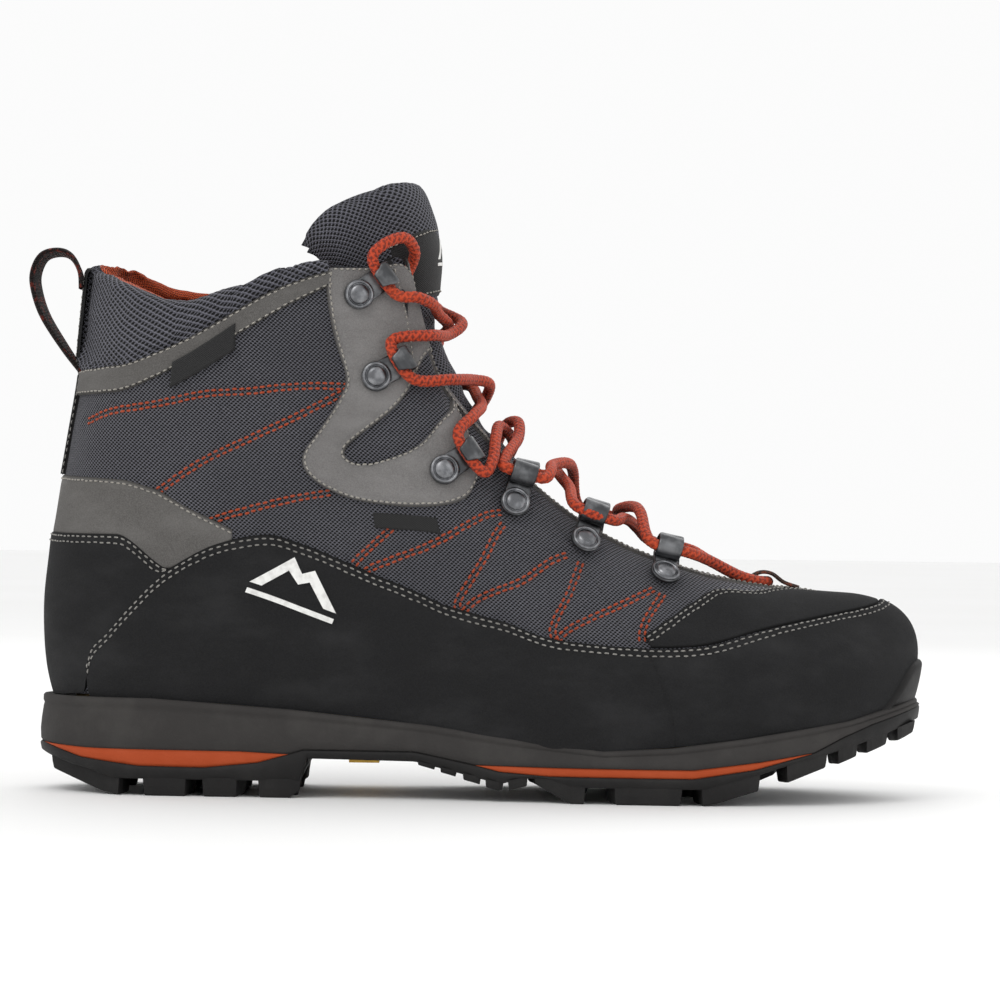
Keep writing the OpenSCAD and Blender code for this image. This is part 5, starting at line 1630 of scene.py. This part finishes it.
PULL = [[-136.0, 169.5], [-136.8, 175.5], [-139.6, 180.2], [-143.6, 181.6], [-148.6, 180.2], [-151.2, 175.3],
        [-151.2, 169.7], [-148.2, 160.6], [-141.6, 150], [-135.2, 141.2]]
PULL_CLOTH = webbing_cloth("pull_webbing", srgb("120e0e"), srgb("7a2a1c"), srgb("241a18"))
ob = webbing("webbing_pull_loop", PULL, 7.0, 1.5, PULL_CLOTH, lean=0.9, crown=-0.3)
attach(ob, "pull_loop_body")
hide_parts("pull_loop")
TOE_LOOP = [[85, 69], [89, 71], [92.5, 74.5], [96, 76.3], [100, 75.8], [104, 73], [109, 71.3]]
TOE_CLOTH = webbing_cloth("toe_webbing", srgb("2a1f1a"), srgb("7a3a22"), srgb("453129"))
ob = webbing("webbing_toe_loop", TOE_LOOP, 3.6, 1.2, TOE_CLOTH, crown=-0.2)
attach(ob, "boot")
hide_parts("toe_loop")

# ---------------------------------------------------------------------------
# Tags and badge
# Two plain black woven tags sewn to the outer side, and a small printed mountain on the rand.
# ---------------------------------------------------------------------------
for name, q0, q1, lo, hi, depth, node in (
        ("woven_side_tag", 1.98, 2.58, [[1.98, 0.776], [2.56, 0.829]], [[1.98, 0.838], [2.56, 0.891]],
         -0.75, "side_tag"),
        ("woven_model_tag", 3.65, 4.35, [[3.65, 0.433], [4.35, 0.44]], [[3.65, 0.468], [4.35, 0.475]],
         0.85, "model_tag")):
    tag = Patch(*band(q0, q1, lo, hi), step=0.9, depth=depth, base=1.7, roll=0.7, lumps=0.03)
    ob = tag.make(name, LABEL)
    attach(ob, "boot")
    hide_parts(node)

centre_q, centre_t = 3.03, 0.27
_, x0, y0, _ = frame_at(centre_q, centre_t, -22)


def on_rand(x, y):
    """A point of the rand's face near the badge, from flat distances along and up."""
    near = lambda dq, dt: skin(np.array(centre_q + dq), np.array(centre_t + dt))
    eq = (near(0.05, 0) - near(-0.05, 0)) / 0.1
    et = (near(0, 0.01) - near(0, -0.01)) / 0.02
    goal = x0 * x + y0 * y
    a = np.array([[eq @ eq, eq @ et], [eq @ et, et @ et]])
    dq, dt = np.linalg.solve(a, [goal @ eq, goal @ et])
    q, t = np.array(centre_q + dq), np.array(centre_t + dt)
    w = out(q, t)
    return np.r_[skin(q, t) + w * 0.22, w]


ob = mark("printed_badge", ridge(30, 12.5), on_rand, PRINT, "boot", low=-0.1, high=0.22, fine=1.2)
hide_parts("side_badge")

# ---------------------------------------------------------------------------
# Stitching
# All the visible rows, gathered by the colour of their thread.
# ---------------------------------------------------------------------------
# each set of stitches brings its needle holes' painted shade with it
white_stitches.make("white_stitches", WHITE_THREAD)
pale_stitches.make("pale_stitches", PALE_THREAD)
orange_stitches.make("orange_stitches", ORANGE_THREAD)
